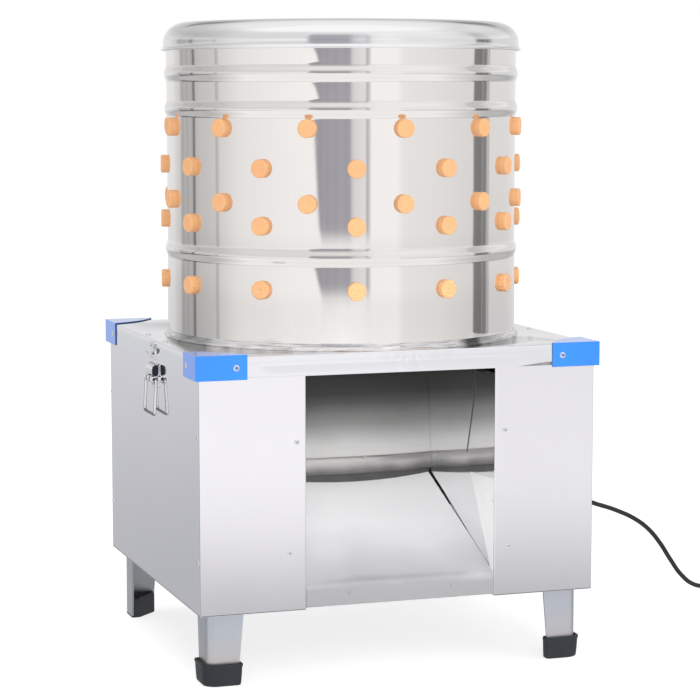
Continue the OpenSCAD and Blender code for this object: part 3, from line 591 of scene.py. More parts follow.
cord_points += [(765, 162, 11.4), (765, 178, 13.6), (765, 196, 14.5)]
cord_curve = bpy.data.curves.new("power_cord_run", "CURVE")
cord_curve.dimensions = "3D"
spline = cord_curve.splines.new("BEZIER")
spline.bezier_points.add(len(cord_points) - 1)
for bp, p in zip(spline.bezier_points, cord_points):
    bp.co = Vector(p) * MM
    bp.handle_left_type = bp.handle_right_type = "AUTO"
spline.resolution_u = 10
cord_curve.bevel_depth = 0.0035
cord_curve.bevel_resolution = 5
cord_curve.use_fill_caps = True
cord_curve.materials.append(CORD)
cord = bpy.data.objects.new("power_cord_run", cord_curve)
scene.collection.objects.link(cord)
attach(cord, "base")
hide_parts("power_cord", "cord_coil")

# tapered strain relief with ribs, set in the panel with a flange
b = Build()
prof = [(0, -7), (11.2, -7), (11.5, -6.6), (11.5, -1.3), (8, -1.3), (8, 0.02), (11.6, 0.02), (12, 0.5), (12, 3.4), (11.4, 4), (9.6, 4.3), (9.2, 5.2)]
for i in range(6):
    z = 6.5 + 3.7 * i
    r0 = 9.0 - 0.62 * i
    prof += [(r0, z), (r0, z + 1.9), (r0 - 1.5, z + 2.2), (r0 - 1.6, z + 3.2)]
prof += [(5.0, 29), (4.7, 30), (3.4, 30.2), (0, 30.2)]
b.lathe(prof, 40, 0, move(279, 100, 197) @ rot("Y", 90))
gland = b.obj("cord_gland", [BLACK], "base", ["cable_gland"], sharp=40)

# plug: moulded body with grip ribs and two pins
b = Build()
M = move(765, 196, 14.5) @ rot("X", -90)
prof = [(0, -1), (4.4, -1), (5.0, -0.4)]
for i in range(5):
    z = 1.5 + 4.0 * i
    r0 = 5.2 + 0.3 * i
    prof += [(r0, z), (r0, z + 2.2), (r0 - 0.9, z + 2.5), (r0 - 0.9, z + 3.6)]
prof += [(7.2, 22), (8.6, 23.6), (11.2, 27), (13.0, 31), (13.8, 35), (14.0, 38), (14.0, 53.5), (13.5, 55.4), (12.2, 56.0), (9, 56.0), (0, 56.0)]
b.lathe(prof, 48, 0, M)
for k in range(10):
    a = math.radians(36 * k)
    b.loft([[(13.7 * math.cos(a + s) + dz, 13.7 * math.sin(a + s), z) for s, dz in ((-0.05, 0), (0.05, 0))] + [(14.35 * math.cos(a + s), 14.35 * math.sin(a + s), z) for s in (0.04, -0.04)] for z in (39, 40, 50, 51)], 0, True, False, True, True, M)
for x in (-9.5, 9.5):
    b.lathe([(0, 55.5), (2.0, 55.5), (2.0, 73), (1.7, 74.2), (1.0, 74.9), (0, 75)], 20, 1, M @ move(x, 0, 0))
plug = b.obj("mains_plug_body", [BLACK, BRIGHT], "base", ["mains_plug"], sharp=40)

# strap that holds the coil
b = Build()
line = rounded_rect(23.6, 0.05, 51.8, 15.4, 4.0, 5)
rings = []
tie_a = math.radians(118)
tan = Vector((-math.sin(tie_a), math.cos(tie_a), 0))
out = Vector((math.cos(tie_a), math.sin(tie_a), 0))
core = Vector((COIL_X, COIL_Y, 0))
for w, grow in ((-4.6, 0.0), (-5.0, 0.35), (-4.6, 0.7), (4.6, 0.7), (5.0, 0.35), (4.6, 0.0)):
    rings.append([tuple(core + out * (u + (grow if u > 37 else -grow)) + tan * w + Vector((0, 0, max(0.02, v + (grow if v > 7 else 0.0))))) for u, v in line])
b.loft(rings, 0, True, True)
tie = b.obj("coil_strap", [TIE], "base", sharp=50)

# ------------------------------------------------------------------ drum
DR = 246.0
BEADS = (562.7, 758.0, 806.0)


def bead_at(z, proud=3.2, half_h=12.2):
    for c in BEADS:
        if abs(z - c) <= half_h:
            return proud * math.cos(math.pi * (z - c) / (2 * half_h)) ** 2
    return 0.0


def sway(z):
    """Slow set of the rolled wall: drawn in under the lowest bead, opening a little between the upper beads."""
    if z < 550.5:
        return 0.62 * (1.0 - (max(0.0, z - 510.0) / 40.5) ** 2)
    if z < 593.0:
        return -0.24 * min((z - 550.5) / 24.4, (593.0 - z) / 18.1)
    u = max(0.0, min(1.0, (z - 772.0) / 20.0))
    v = max(0.0, min(1.0, (z - 820.0) / 22.0))
    return 20.0 * (0.033 * u - 0.014 * u * u) + 22.0 * (0.037 * v - 0.0095 * v * v)


D0 = DR + 0.62
outer = [(D0, 413.0), (D0, 439.9), (D0 + 5.2, 440.05), (D0 + 5.0, 440.5), (D0 + 3.4, 441.1), (D0 + 2.1, 442.0), (D0 + 1.1, 443.2), (D0 + 0.45, 444.8), (D0 + 0.1, 446.8), (D0, 449.0)]
zs = []
z = 450.0
while z < 859:
    near = any(abs(z - c) < 15.0 for c in BEADS)
    zs.append(z)
    z += 0.75 if near else (min(12.0, max(0.75, min((c - 14.9 - z) for c in BEADS if c - 14.9 > z))) if any(c - 14.9 > z for c in BEADS) else 8.0)
outer += [(DR + bead_at(z) + sway(z), z) for z in zs] + [(DR + sway(860.0), 860.0)]
inner = [(r - 1.2, z) for r, z in outer if z >= 449] + []
inner = inner[::-1] + [(D0 - 1.2, 413.0)]
b = Build()
b.lathe(outer + inner, 288, 0, None, ring=True)
b.obj("drum_wall", [DRUM, FOOT], "drum", ["drum_shell"], sharp=50, paint=lambda c, n: 1 if c.z < 448.0 and math.hypot(c.x, c.y) > D0 - 0.3 else None)

# splash ring: wired lip, wall, rounded shoulder, rolled mouth
prof = [(251.3, 839.2)] + arc(252.2, 839.7, 1.3, -150, 60, 8) + [(251.6, 841.6), (250.7, 844.0), (250.3, 846.4)]
prof += arc(218.5, 849.2, 31.7, 0, 90, 28, 28.4)
prof += [(210, 877.58), (205, 877.4)] + arc(203.2, 872.6, 5.0, 80, 180, 8) + [(198.2, 869.2)] + arc(199.6, 867.2, 1.4, 180, 330, 6)
prof += [(201.0, 869.6), (201.4, 873.0), (203.0, 875.4), (206, 876.3)]
prof += arc(218.5, 849.2, 30.5, 90, 0, 24, 27.2) + [(249.0, 845.0), (249.5, 842.4), (250.4, 840.4)]
b = Build()
b.lathe(prof, 288, 0, None, ring=True)
b.obj("splash_ring_shell", [RING], "ring", ["splash_ring"], sharp=60)


def finger_profile(wall):
    p = [(0, -8.75), (1.2, -8.75), (1.7, -8.95), (6, -9.02), (9.7, -8.97)]
    p += arc(10.2, -6.7, 2.3, -90, 0, 6) + [(12.5, -5.0), (12.45, -1.0), (12.4, 0.42), (9.8, 0.42), (9.8, wall + 0.5)]
    p += [(11.2, wall + 0.6)] + arc(10.7, wall + 1.6, 0.9, -60, 0, 3) + [(11.6, wall + 5.4), (11.3, wall + 6.3), (10.6, wall + 7.2)]
    for k in range(3):
        z0 = wall + 11 + 12 * k
        r0 = 10.35 - 0.62 * k
        p += [(r0, z0), (r0 - 0.25, z0 + 6.0), (r0 - 0.1, z0 + 7.3), (r0 + 0.62, z0 + 8.4), (r0 + 0.75, z0 + 9.1), (r0 + 0.5, z0 + 9.8), (r0 - 0.5, z0 + 10.8)]
    p += [(8.75, wall + 48), (8.5, wall + 62)] + arc(4.4, wall + 65.8, 4.1, 0, 90, 7, 4.2) + [(1.5, wall + 70.0), (0, wall + 70.0)]
    return p


STEP = 360.0 / 12
b = Build()
prof = finger_profile(1.6)
for zrow, off in ((733.5, 0.0), (680.5, 0.5), (634, 0.0), (604, 0.5), (519, 0.5)):
    for k in range(12):
        b.lathe(prof, 28, 0, rot("Z", 1.3 + STEP * (k + off)) @ move(0, -246.05, zrow) @ rot("X", -90) @ rot("Z", 37.0 * k))
b.obj("drum_finger_set", [ORANGE], "drum", ["drum_fingers"], sharp=48)
b = Build()
prof = finger_profile(4.1)
for r, n, a0 in ((78, 5, 0), (120, 8, 10), (160, 12, 0)):
    for k in range(n):
        b.lathe(prof, 28, 0, rot("Z", a0 + 360.0 * k / n) @ move(r, 0, 450.95))
b.obj("plate_finger_set", [ORANGE], "rotor", ["plate_fingers"], sharp=48)

# ------------------------------------------------------------------ top plate with folded rim
RX, RY = 282.0, 258.0
base_loop = perimeter(RX, RY, 2.6)


def at_rim(grow, z, bottom=False, circle=None):
    loop = []
    for x, y in base_loop:
        if circle is not None:
            a = math.atan2(y, x)
            loop.append((circle * math.cos(a), circle * math.sin(a), z))
            continue
        # the lower band of the rim flares a little between the guards
        edge = min(1.0, max(0.0, (min(RX - abs(x), RY - abs(y)) < 1.2) and 1.0))
        along = (RX - abs(x)) if abs(abs(y) - RY) < abs(abs(x) - RX) else (RY - abs(y))
        clear = smoothstep((along - 62.0) / 34.0)
        on_front = abs(abs(y) - RY) < abs(abs(x) - RX)
        g = grow * (clear if on_front else 0.0) if bottom and grow > 0 else grow
        zz = z
        if bottom and y < -RY + 3 and x > 0:
            # lower edge lifted beside the front right guard
            zz = z + 5.2 * smoothstep((x - 150.0) / 62.0)
        nx = (1 if x > 0 else -1) * (1.0 if abs(abs(x) - RX) < 2.7 else 0.0)
        ny = (1 if y > 0 else -1) * (1.0 if abs(abs(y) - RY) < 2.7 else 0.0)
        if bottom:
            loop.append((x + nx * g, y + ny * g, zz))
        else:
            sx = (RX + grow) / RX
            sy = (RY + grow) / RY
            loop.append((x * sx, y * sy, zz))
    return loop


loops = [at_rim(0, 438.8, circle=246.4), at_rim(0, 439.9, circle=246.4), at_rim(0, 440.0, circle=246.55)]
for i in range(7):
    a = math.radians(90 - 15 * i)
    loops.append(at_rim(-2.4 + 2.4 * math.cos(a), 437.6 + 2.4 * math.sin(a)))
loops += [at_rim(0, 431.0), at_rim(0.0, 427.0)]
for k, (g, z) in enumerate(((0.25, 425.6), (0.95, 421.0), (1.55, 416.5), (1.9, 413.6), (1.85, 412.4), (1.45, 411.9), (-0.6, 411.7), (-2.3, 412.0), (-2.5, 413.4), (-1.9, 416.0), (-1.2, 421.0), (-1.2, 426.0))):
    loops.append(at_rim(g, z, bottom=True) if k < 10 else at_rim(g, z))
loops += [at_rim(-1.2, 437.0), at_rim(-2.4, 438.8)]
b = Build()
b.loft(loops, 0, True, True)
b.obj("top_plate_sheet", [PLATE], "drum", ["top_plate"], sharp=40)


# ------------------------------------------------------------------ corner guards
def guard(b, M):
    x0, y0 = -285.0, -261.0
    A, B_, C = (x0, y0), (x0 + 70, y0), (x0, y0 + 64)
    Bi, D, Ci = (x0 + 70, y0 + 3), (x0 + 3, y0 + 3), (x0 + 3, y0 + 64)
    hyp = []
    for i in range(1, 12):
        t = i / 12
        bulge = 9 * math.sin(math.pi * t) * 0.7
        hyp.append((Bi[0] + (Ci[0] - Bi[0]) * t + bulge, Bi[1] + (Ci[1] - Bi[1]) * t + bulge))
    v, ids = [], {}

    def p(xy, z):
        key = (round(xy[0], 4), round(xy[1], 4), z)
        if key not in ids:
            ids[key] = len(v)
            v.append((xy[0], xy[1], z))
        return ids[key]

    lo, mid, top = 410.0, 440.05, 443.0
    f = [[p(q, lo) for q in (A, C, Ci, D, Bi, B_)]]
    f.append([p(A, lo), p(B_, lo), p(B_, top), p(A, top)])
    f.append([p(C, lo), p(A, lo), p(A, top), p(C, top)])
    f.append([p(B_, lo), p(Bi, lo), p(Bi, mid), p(Bi, top), p(B_, top)])
    f.append([p(Ci, lo), p(C, lo), p(C, top), p(Ci, top), p(Ci, mid)])
    f.append([p(Bi, lo), p(D, lo), p(D, mid), p(Bi, mid)])
    f.append([p(D, lo), p(Ci, lo), p(Ci, mid), p(D, mid)])
    chain = [Bi] + hyp + [Ci]
    f.append([p(D, mid)] + [p(q, mid) for q in chain[::-1]])
    for q, w in zip(chain[:-1], chain[1:]):
        f.append([p(q, mid), p(w, mid), p(w, top), p(q, top)])
    f.append([p(A, top), p(B_, top)] + [p(q, top) for q in chain] + [p(C, top)])
    b.add(v, f, 0, M)


for name, M in (("front_left", Matrix.Identity(4)), ("front_right", MIRROR_X), ("rear_left", MIRROR_Y), ("rear_right", MIRROR_X @ MIRROR_Y)):
    b = Build()
    guard(b, M)
    # faces turned down or in towards the plate take the navy of painted shade
    corner = b.obj("corner_guard_" + name, [BLUE, NAVY_SHADE], "drum", ["guard_" + name], sharp=38, bevel=0.9, segs=3, paint=lambda c, n: 1 if n.z < 0.5 and n.x * c.x < 0.5 * abs(c.x) and n.y * c.y < 0.5 * abs(c.y) else None)
    corner.visible_glossy = False


# ------------------------------------------------------------------ rivets and screws
def rivet(b, M, r, h, mat=0, dark=1):
    """Blind rivet head: domed flange, dished hole with the broken mandrel in it."""
    b.lathe([(1.6, -3.5), (2.0, -3.4), (2.0, 0.0), (r - 0.15, 0.0), (r, 0.18), (r - 0.25, h * 0.55), (r * 0.70, h * 0.92), (r * 0.46, h), (r * 0.36, h * 0.96)], 28, mat, M)
    b.lathe([(r * 0.36, h * 0.96), (r * 0.33, h * 0.45), (r * 0.27, h * 0.25), (r * 0.16, h * 0.3), (r * 0.08, h * 0.52), (0, h * 0.55)], 28, dark, M)


def eyelet(b, M):
    """Hollow rivet in a guard, its hole showing the plastic behind."""
    b.lathe([(2.0, -3.4), (2.05, 0.0), (4.0, 0.0), (4.15, 0.25), (4.0, 0.7), (3.4, 1.15), (2.7, 1.2), (2.15, 0.9), (1.95, 0.3)], 32, 0, M)
    # hole bottom in the dark navy of painted shade
    b.lathe([(1.95, 0.3), (1.9, -0.3), (1.2, -0.5), (0, -0.5)], 24, 2, M)


def hex_screw(b, M, r, h, mat=0):
    """Flanged hexagon head."""
    b.lathe([(2.0, -5), (2.0, 0), (r, 0), (r, 0.35), (r * 0.86, 0.75), (r * 0.8, 0.8)], 28, mat, M)
    hexa = [(r * 0.82 * math.cos(math.radians(60 * k)), r * 0.82 * math.sin(math.radians(60 * k))) for k in range(6)]
    b.loft([[(x * s, y * s, z) for x, y in hexa] for s, z in ((1.0, 0.6), (1.0, h * 0.82), (0.88, h), (0.5, h))], mat, True, False, False, True, M)


b = Build()
for x, z in ((-146.5, 324), (-157, 176.5), (148.5, 326.5), (154, 166.5)):
    rivet(b, move(x, -255, z) @ rot("X", 90), 3.6, 1.6)
for y, z in ((-246, 336), (246, 336), (-246, 170), (246, 170)):
    for s in (-1, 1):
        rivet(b, move(s * 279, y, z) @ rot("Y", s * 90), 3.6, 1.6)
for x in (-73, 73):
    rivet(b, move(x, -254.4, 118) @ rot("X", 90), 3.0, 0.9, 2, 2)
for x in (-268, 268):
    for z in (116, 250, 397):
        hex_screw(b, move(x, 256.2, z) @ rot("X", -90), 5.0, 3.2)
b.obj("casing_rivets", [BRIGHT, HARDWARE, CHUTE], "base", ["casing_screws"], sharp=40)
b = Build()
for sx in (-1, 1):
    for sy in (-1, 1):
        eyelet(b, move(sx * (285 - 55), sy * 261, 426) @ rot("X", -sy * 90))
        eyelet(b, move(sx * 285, sy * (261 - 48), 426) @ rot("Y", sx * 90))
for s in (-1, 1):
    for y in (-48, 48):
        rivet(b, move(s * 271, y, 440), 3.6, 1.6)
b.obj("plate_rivets", [BRIGHT, HARDWARE, NAVY_SHADE], "drum", ["top_plate_fasteners"], sharp=40)


# ------------------------------------------------------------------ casing
CA, SA = math.cos(math.radians(4.5)), math.sin(math.radians(4.5))


def flat_normals(o):
    """Keep wide flats flat beside their rounded folds."""
    m = o.modifiers.new("flat", "WEIGHTED_NORMAL")
    m.keep_sharp = True
    m.weight = 100


def casing(b, M):
    line = fillet([(-134 + 3.2 * SA, -255 + 3.2 * CA), (-134, -255), (-279, -255), (-279, 255), (-259, 255)], 1.5, 5)
    # the sheet lies inside this line
    b.strip(line, -1.2, 99.6, 438.2, at_xy, 0, M)
    # return beside the chute, closing with it towards the back
    def on_web(u, v, a):
        return (-134 + u * SA - a * CA, -255 + u * CA + a * SA, v)

    # lower part in the paler web steel, whose extra brightness is painted light; upper part in the cheek steel
    b.plate(fillet([(3.2, 99.6), (15, 99.6), (15, 142), (76.0, 259), (3.2, 259)], [0, 1.5, 1.5, 0, 0], 3, closed=True), 1.2, on_web, (), 2, M)
    b.plate(fillet([(3.2, 259.02), (76.0, 259.02), (88, 282), (63, 372), (63, 402), (3.2, 402)], [0, 0, 1.5, 1.5, 1.5, 0], 3, closed=True), 1.2, on_web, (), 4, M)
    # thin dark strip along the upper part of its rear edge: painted shadow of the gap beside the cheek
    seam = [(87.0, 285.0), (62.4, 372.0), (62.4, 401.5)]
    b.plate(seam + offset(seam, 2.2)[::-1], 0.4, lambda u, v, a: (-134 + u * SA - (a - 0.4) * CA, -255 + u * CA + (a - 0.4) * SA, v), (), 3, M)
    # dark strip between the casing and the rim that rests over it: painted shade of the gap, seen where the rim lifts
    b.plate([(-276, 412.3), (-137, 412.3), (-137, 424), (-276, 424)], 1.0, lambda u, v, a: (u, -255.1 - a, v), (), 1, M)
    # lower edge folded in
    b.plate([(-279, -255), (-134.2, -255), (-134.2, -241), (-265.8, -241), (-265.8, 255), (-279, 255)], 1.2, lambda u, v, a: (u, v, 99 + a), (), 0, M)


b = Build()
casing(b, None)
flat_normals(b.obj("left_casing_sheet", [PANEL, GAP_SHADE, WEB_LIT, SEAL, CHEEK], "base", ["left_casing"], sharp=40))
b = Build()
casing(b, MIRROR_X)
flat_normals(b.obj("right_casing_sheet", [PANEL, GAP_SHADE, WEB_LIT, SEAL, CHEEK], "base", ["right_casing"], sharp=40))

# back cover with pressed louvres
b = Build()
slots = [[(sx * 120 - 45, 230 + 18 * k), (sx * 120 + 45, 230 + 18 * k), (sx * 120 + 45, 236 + 18 * k), (sx * 120 - 45, 236 + 18 * k)] for sx in (-1, 1) for k in range(7)]
b.plate(rounded_rect(-278, 100, 278, 411, 2.5, 4), 1.2, lambda u, v, a: (u, 255.02 + a, v), slots)
for sx in (-1, 1):
    for k in range(7):
        cx, z0 = sx * 120, 230 + 18 * k
        rows = []
        for i in range(25):
            t = -1 + 2 * i / 24
            w = max(0.0, 1 - abs(t) ** 8)
            x = cx + 46.5 * t
            sec = []
            for j in range(9):
                s = j / 8
                h = 4.4 * w * math.sin(s * math.pi / 2) ** 0.9
                sec.append((x, 256.15 + h, z0 + 7.2 - (7.4 * w + 0.4) * s))
            rows.append(sec)
        b.loft(rows, 0, False)
        b.loft([[(x, y - 0.9 * 1.0 if y > 256.6 else y - 0.2, z) for x, y, z in r] for r in rows], 0, False)
b.obj("back_cover_sheet", [PANEL], "base", ["back_cover"], sharp=40)

# ------------------------------------------------------------------ chute, cheeks, bulkhead, seal
def floor_z(y):
    return 129.0 + 111.0 * (y + 254.4) / 210.4


def chute_at(u, v, a):
    w = max(0.0, u + 192.0) / 130.0
    wide = 133.8 + 1.25 * smoothstep((u + 237.0) / 8.0) - 4.6 * w ** 1.3 * (1.0 - 0.5 * min(1.0, w))
    return (a * (wide - SA / CA * (u + 255.0)), u, v)


b = Build()
line = fillet([(-239, 101.2), (-254.4, 101.2), (-254.4, 129), (-44, 240)], [0, 1.8, 12.0, 0], 12)
dense = line[:-1] + [(line[-2][0] + (line[-1][0] - line[-2][0]) * i / 24, line[-2][1] + (line[-1][1] - line[-2][1]) * i / 24) for i in range(1, 25)]
b.strip(dense, -1.2, -1.0, 1.0, chute_at, 0, None, 24)
b.obj("chute_sheet", [CHUTE], "base", ["chute_plate"], sharp=40)
for s, name in ((-1, "left"), (1, "right")):
    b = Build()
    b.plate([(2.4, 103), (218, 210), (218, 402.2), (2.4, 402.2)], 1.2, lambda u, v, a: (s * (134 + (1.4 + a) * CA - u * SA), -255 + u * CA + (1.4 + a) * SA, v))
    b.obj("chute_cheek_sheet_" + name, [CHEEK], "base", ["chute_cheek_" + name], sharp=40)


def turned(u, v, a):
    """Place a point of the bulkhead's section, a from -1 at the left cheek to 1 at the right one."""
    r, half_a = 526.0 - u, 0.2
    for _ in range(4):
        y = 526.0 - r * math.cos(half_a)
        half_a = math.asin((134.0 + 1.4 / CA - SA / CA * (y + 255.0) - 0.15) / r)
    return (r * math.sin(a * half_a), 526.0 - r * math.cos(a * half_a), v)


b = Build()
rows = [(-60.0 + 12.0 * ((z - 243.0) / 159.2) ** 2, z) for z in [402.2 - (402.2 - 244.6) * i / 40 for i in range(41)]]
rows += [(-59.6, 243.4), (-58.6, 243.0), (-50.0, 243.0)]
b.strip(rows, 1.2, -1.0, 1.0, turned, 0, None, 64)
hem = [(-60.2, 268.8), (-61.4, 268.4), (-62.5, 267.2), (-63.1, 264.5), (-63.4, 258.0), (-63.2, 251.0), (-62.6, 246.0), (-61.6, 243.8), (-60.2, 243.1)]
b.strip(hem, 0.9, -1.0, 1.0, turned, 1, None, 64)
b.obj("bulkhead_sheet", [BULK, HEM], "base", ["bulkhead"], sharp=40)
b = Build()
loops = []
for i in range(65):
    a = -0.985 + 1.97 * i / 64
    loops.append([turned(u, v, a) for u, v in ((-58.4, 242.8), (-58.6, 238.0), (-59.0, 0.0), (-56.2, 0.0), (-55.8, 238.0), (-55.6, 242.8))])
    loops[-1] = [(x, y, max(z, floor_z(y) + 0.4)) for x, y, z in loops[-1]]
b.loft(loops, 0, True, False, True, True)
b.obj("chute_seal_strip", [SEAL], "base", ["chute_seal"], sharp=50)


# ------------------------------------------------------------------ legs and feet
def leg_piece(name, M):
    b = Build()
    loops = []
    z0 = 2.7 if name.startswith("rear") else 6.2
    for z in [z0 + (142 - z0) * i / 10 for i in range(11)]:
        w = 42 + 12 * (z - 6.2) / 135.8
        line = fillet([(-265 + w, -236), (-265, -236), (-265, -236 + w)], 11.0, 12)
        loop = line + offset(line, -2.5)[::-1]
        loops.append([(x, y, z) for x, y in loop])
    b.loft(loops, 0, True, M=M)
    n = len(loops[0])
    for l in (loops[0], loops[-1]):
        b.add(l, [[j, j + 1, n - 2 - j, n - 1 - j] for j in range(n // 2 - 1)], 0, M)
    # faces turned in towards the angle's inner corner take the painted shade
    b.obj("leg_angle_" + name, [LEG, LEG_IN_SHADE], "base", ["leg_" + name], sharp=40, paint=lambda c, n: 1 if n.x * c.x < -60.0 or n.y * c.y < -60.0 else 0)


def foot_outline(pts, radii, i, z):
    cx, cy = -250.0, -220.0
    return [(x, y, z) for x, y in fillet([(x + (i if x < cx else -i), y + (i if y < cy else -i)) for x, y in pts], radii, 10, closed=True)]


def foot_piece(name, M):
    b = Build()
    if name.startswith("rear"):
        # pad pushed into the angle, with a sole under its edge
        sole = [(-265.3, -236.3), (-222.4, -236.3), (-222.4, -225.5), (-254.5, -193.4), (-265.3, -193.4)]
        pad = [(-262.4, -233.4), (-222.4, -233.4), (-222.4, -225.5), (-254.5, -193.4), (-262.4, -193.4)]
        b.loft([foot_outline(sole, [11.0, 3.0, 5.0, 5.0, 3.0], i, z) for i, z in ((1.6, 0.0), (0.7, 0.3), (0.2, 1.0), (0.0, 1.8), (0.0, 2.5))], 0, True, False, True, True, M)
        b.loft([foot_outline(pad, [8.5, 2.0, 5.0, 5.0, 2.0], i, z) for i, z in ((0.0, 2.3), (0.0, 26.5), (0.3, 28.4), (0.9, 29.6), (1.8, 30.0))], 0, True, False, True, True, M)
    else:
        cap = [(-271, -242), (-217.5, -242), (-217.5, -228.5), (-257.5, -228.5), (-257.5, -188.5), (-271, -188.5)]
        b.loft([foot_outline(cap, [16.0, 3.6, 1.6, 2.6, 1.6, 3.6], i, z) for i, z in ((3.9, 0.0), (2.9, 0.4), (2.2, 1.4), (1.9, 3.0), (1.2, 12.0), (0.7, 22.0), (0.6, 25.0), (0.1, 25.8), (-0.2, 26.6), (-0.2, 29.0), (0.1, 29.7), (0.9, 30.0), (2.4, 30.0), (2.8, 29.6), (3.0, 27.0))], 0, True, False, True, True, M)
    b.obj("foot_cap_" + name, [RUBBER], "base", ["foot_" + name], sharp=35)


for name, M in (("front_left", Matrix.Identity(4)), ("front_right", MIRROR_X), ("rear_left", MIRROR_Y), ("rear_right", MIRROR_X @ MIRROR_Y)):
    leg_piece(name, M)
    foot_piece(name, M)


# ------------------------------------------------------------------ latches
def latch_bracket(b, M):
    # leaf on the panel, curled round the pivot in three knuckles
    curl = [(-279.05, 404.0), (-279.05, 389.5), (-280.2, 387.4), (-282.6, 386.9)]
    a0 = math.degrees(math.atan2(386.9 - 382, -282.6 + 285.5))
    curl += [(-285.5 + 5.2 * math.cos(math.radians(a0 + t)), 382 + 5.2 * math.sin(math.radians(a0 + t))) for t in range(12, 300, 16)]
    for y0, y1 in ((-42, -31.5), (-25.5, -14.5), (-8.5, 2)):
        b.strip(curl, 1.3, y0, y1, lambda u, v, a: (u, a, v), 0, M)
    b.plate(fillet([(-42, 371), (2, 371), (2, 404), (-42, 404)], 4, 5, closed=True), 1.5, lambda u, v, a: (-279.02 - a, u, v), (), 0, M)
    # bridge over the pivot
    cover = fillet([(-280.4, 403.4), (-284.4, 402.8), (-287.8, 400.4), (-288.8, 396.4), (-288.8, 389.4)], 2.0, 4)
    b.strip(cover, 1.2, -38.5, -1.5, lambda u, v, a: (u, a, v), 0, M)
    side = fillet([(-280.6, 403.0), (-284.4, 402.4), (-287.6, 400.2), (-288.6, 396.4), (-288.6, 390.0), (-286.0, 388.0), (-280.6, 388.6)], 1.6, 4, closed=True)
    # end walls of the bridge, all in painted shade
    for y in (-39.6, -2.7):
        b.plate(side, 1.2, lambda u, v, a: (u, y + a, v), (), 2, M)
    for y, z in ((-36, 398.5), (-4, 398.5), (-20, 375.2)):
        b.lathe([(2.9, 0), (2.9, 0.5), (2.3, 1.2), (1.2, 1.5), (0, 1.55)], 22, 1, M @ move(-280.5, y, z) @ rot("Y", -90))


def bail_path():
    pts = [(-11, 382)]
    pts += arc(-24.5, 378, 4, 90, 180, 8)
    pts += arc(-22.5, 340.75, 6, 180, 270, 8)
    pts += arc(22.5, 340.75, 6, 270, 360, 8)
    pts += arc(24.5, 378, 4, 0, 90, 8)
    pts += [(11, 382)]
    # the loop hangs a little away from the panel at its foot
    return [(-2.4 * (382 - z) / 47.0, y - 20.0, z) for y, z in pts]


def keeper(b, M):
    b.plate(fillet([(-33, 409), (-7, 409), (-7, 433), (-33, 433)], 3, 5, closed=True), 1.5, lambda u, v, a: (-282.02 - a, u, v), (), 0, M)
    hook = fillet([(-283.5, 411.5), (-284.2, 414.0), (-288.6, 416.2), (-290.6, 419.6), (-290.4, 423.6)], 2.5, 5)
    b.strip(hook, -1.5, -29, -11, lambda u, v, a: (u, a, v), 0, M)
    for y in (-28, -12):
        b.lathe([(2.6, 0), (2.6, 0.4), (2.0, 1.1), (1.0, 1.35), (0, 1.4)], 20, 1, M @ move(-283.5, y, 428.5) @ rot("Y", -90))


for side, M in (("left", Matrix.Identity(4)), ("right", MIRROR_X)):
    b = Build()
    latch_bracket(b, M @ move(0, -4, 5))
    out_x = -1.0 if side == "left" else 1.0
    # faces of the leaf and bridge turned back to the panel take the painted shade
    b.obj("latch_leaf_" + side, [BRIGHT, BRIGHT, SHADED], "base", ["latch_bracket_" + side], sharp=40, paint=lambda c, n: 2 if abs(c.x) > 280.8 and n.x * out_x < -0.15 else None)
    b = Build()
    b.tube(bail_path(), 2.05, 16, 0, M @ move(-285.5, -4, 5))
    b.obj("latch_wire_" + side, [WIRE], "bail_" + side, ["latch_bail_" + side], sharp=50)
b = Build()
keeper(b, move(0, -4, 5))
keeper(b, MIRROR_X @ move(0, -4, 5))
# hook faces turned back to the panel take the painted shade
b.obj("latch_hooks", [BRIGHT, BRIGHT, SHADED], "drum", ["latch_keepers"], sharp=40, paint=lambda c, n: 2 if abs(c.x) > 284.0 and n.x * c.x < -30 else None)

# ------------------------------------------------------------------ switch
b = Build()
SY, SZ = 140.0, 330.0


def bezel(inset, x, r=7.0):
    return [(x, y, z) for y, z in rounded_rect(SY - 36 + inset, SZ - 48 + inset, SY + 36 - inset, SZ + 48 - inset, max(1.0, r - inset * 0.6), 6)]


b.loft([bezel(0.0, 279.0), bezel(0.0, 281.4), bezel(0.5, 282.3), bezel(1.3, 282.6), bezel(3.0, 282.6), bezel(3.6, 282.1), bezel(3.9, 281.6)], 0, True)
holes = [[(SY + 13.2 * math.cos(2 * math.pi * k / 48), SZ + dz + 13.2 * math.sin(2 * math.pi * k / 48)) for k in range(48)] for dz in (-20, 20)]
b.plate([(y, z) for x, y, z in bezel(3.9, 0)], 0.8, lambda u, v, a: (280.8 + a, u, v), holes)
for dz in (-20, 20):
    b.lathe([(12.3, -8), (12.3, 2.6), (12.7, 3.3), (13.6, 3.6), (15.2, 3.5), (16.0, 3.0), (16.3, 2.2)], 48, 0, move(279, SY, SZ + dz) @ rot("Y", 90))
b.loft([[(x, y, z) for y, z in rounded_rect(SY - 30, SZ - 42, SY + 30, SZ + 42, 3, 4)] for x in (231, 279)], 0, True, False, True, False)
for dy in (-29, 29):
    for dz in (-41, 41):
        b.lathe([(2.6, 0), (2.6, 0.5), (2.0, 1.0), (0, 1.05)], 20, 1, move(281.4, SY + dy, SZ + dz) @ rot("Y", 90))
b.obj("switch_body", [BLACK, HARDWARE], "base", ["switch_box"], sharp=40)
for name, dz, m, slot_name in (("start", 20, GREEN, "green_plastic"), ("stop", -20, RED, "red_plastic")):
    b = Build()
    b.lathe([(0, -10), (12, -10), (12, 6.6), (11.7, 7.4), (11.0, 7.9), (9.6, 8.0), (8.0, 7.7), (4.0, 7.35), (0, 7.25)], 48, 0, move(279, SY, SZ + dz) @ rot("Y", 90))
    b.obj(name + "_button_cap", [m], name + "_button", [name + "_button"], sharp=45)

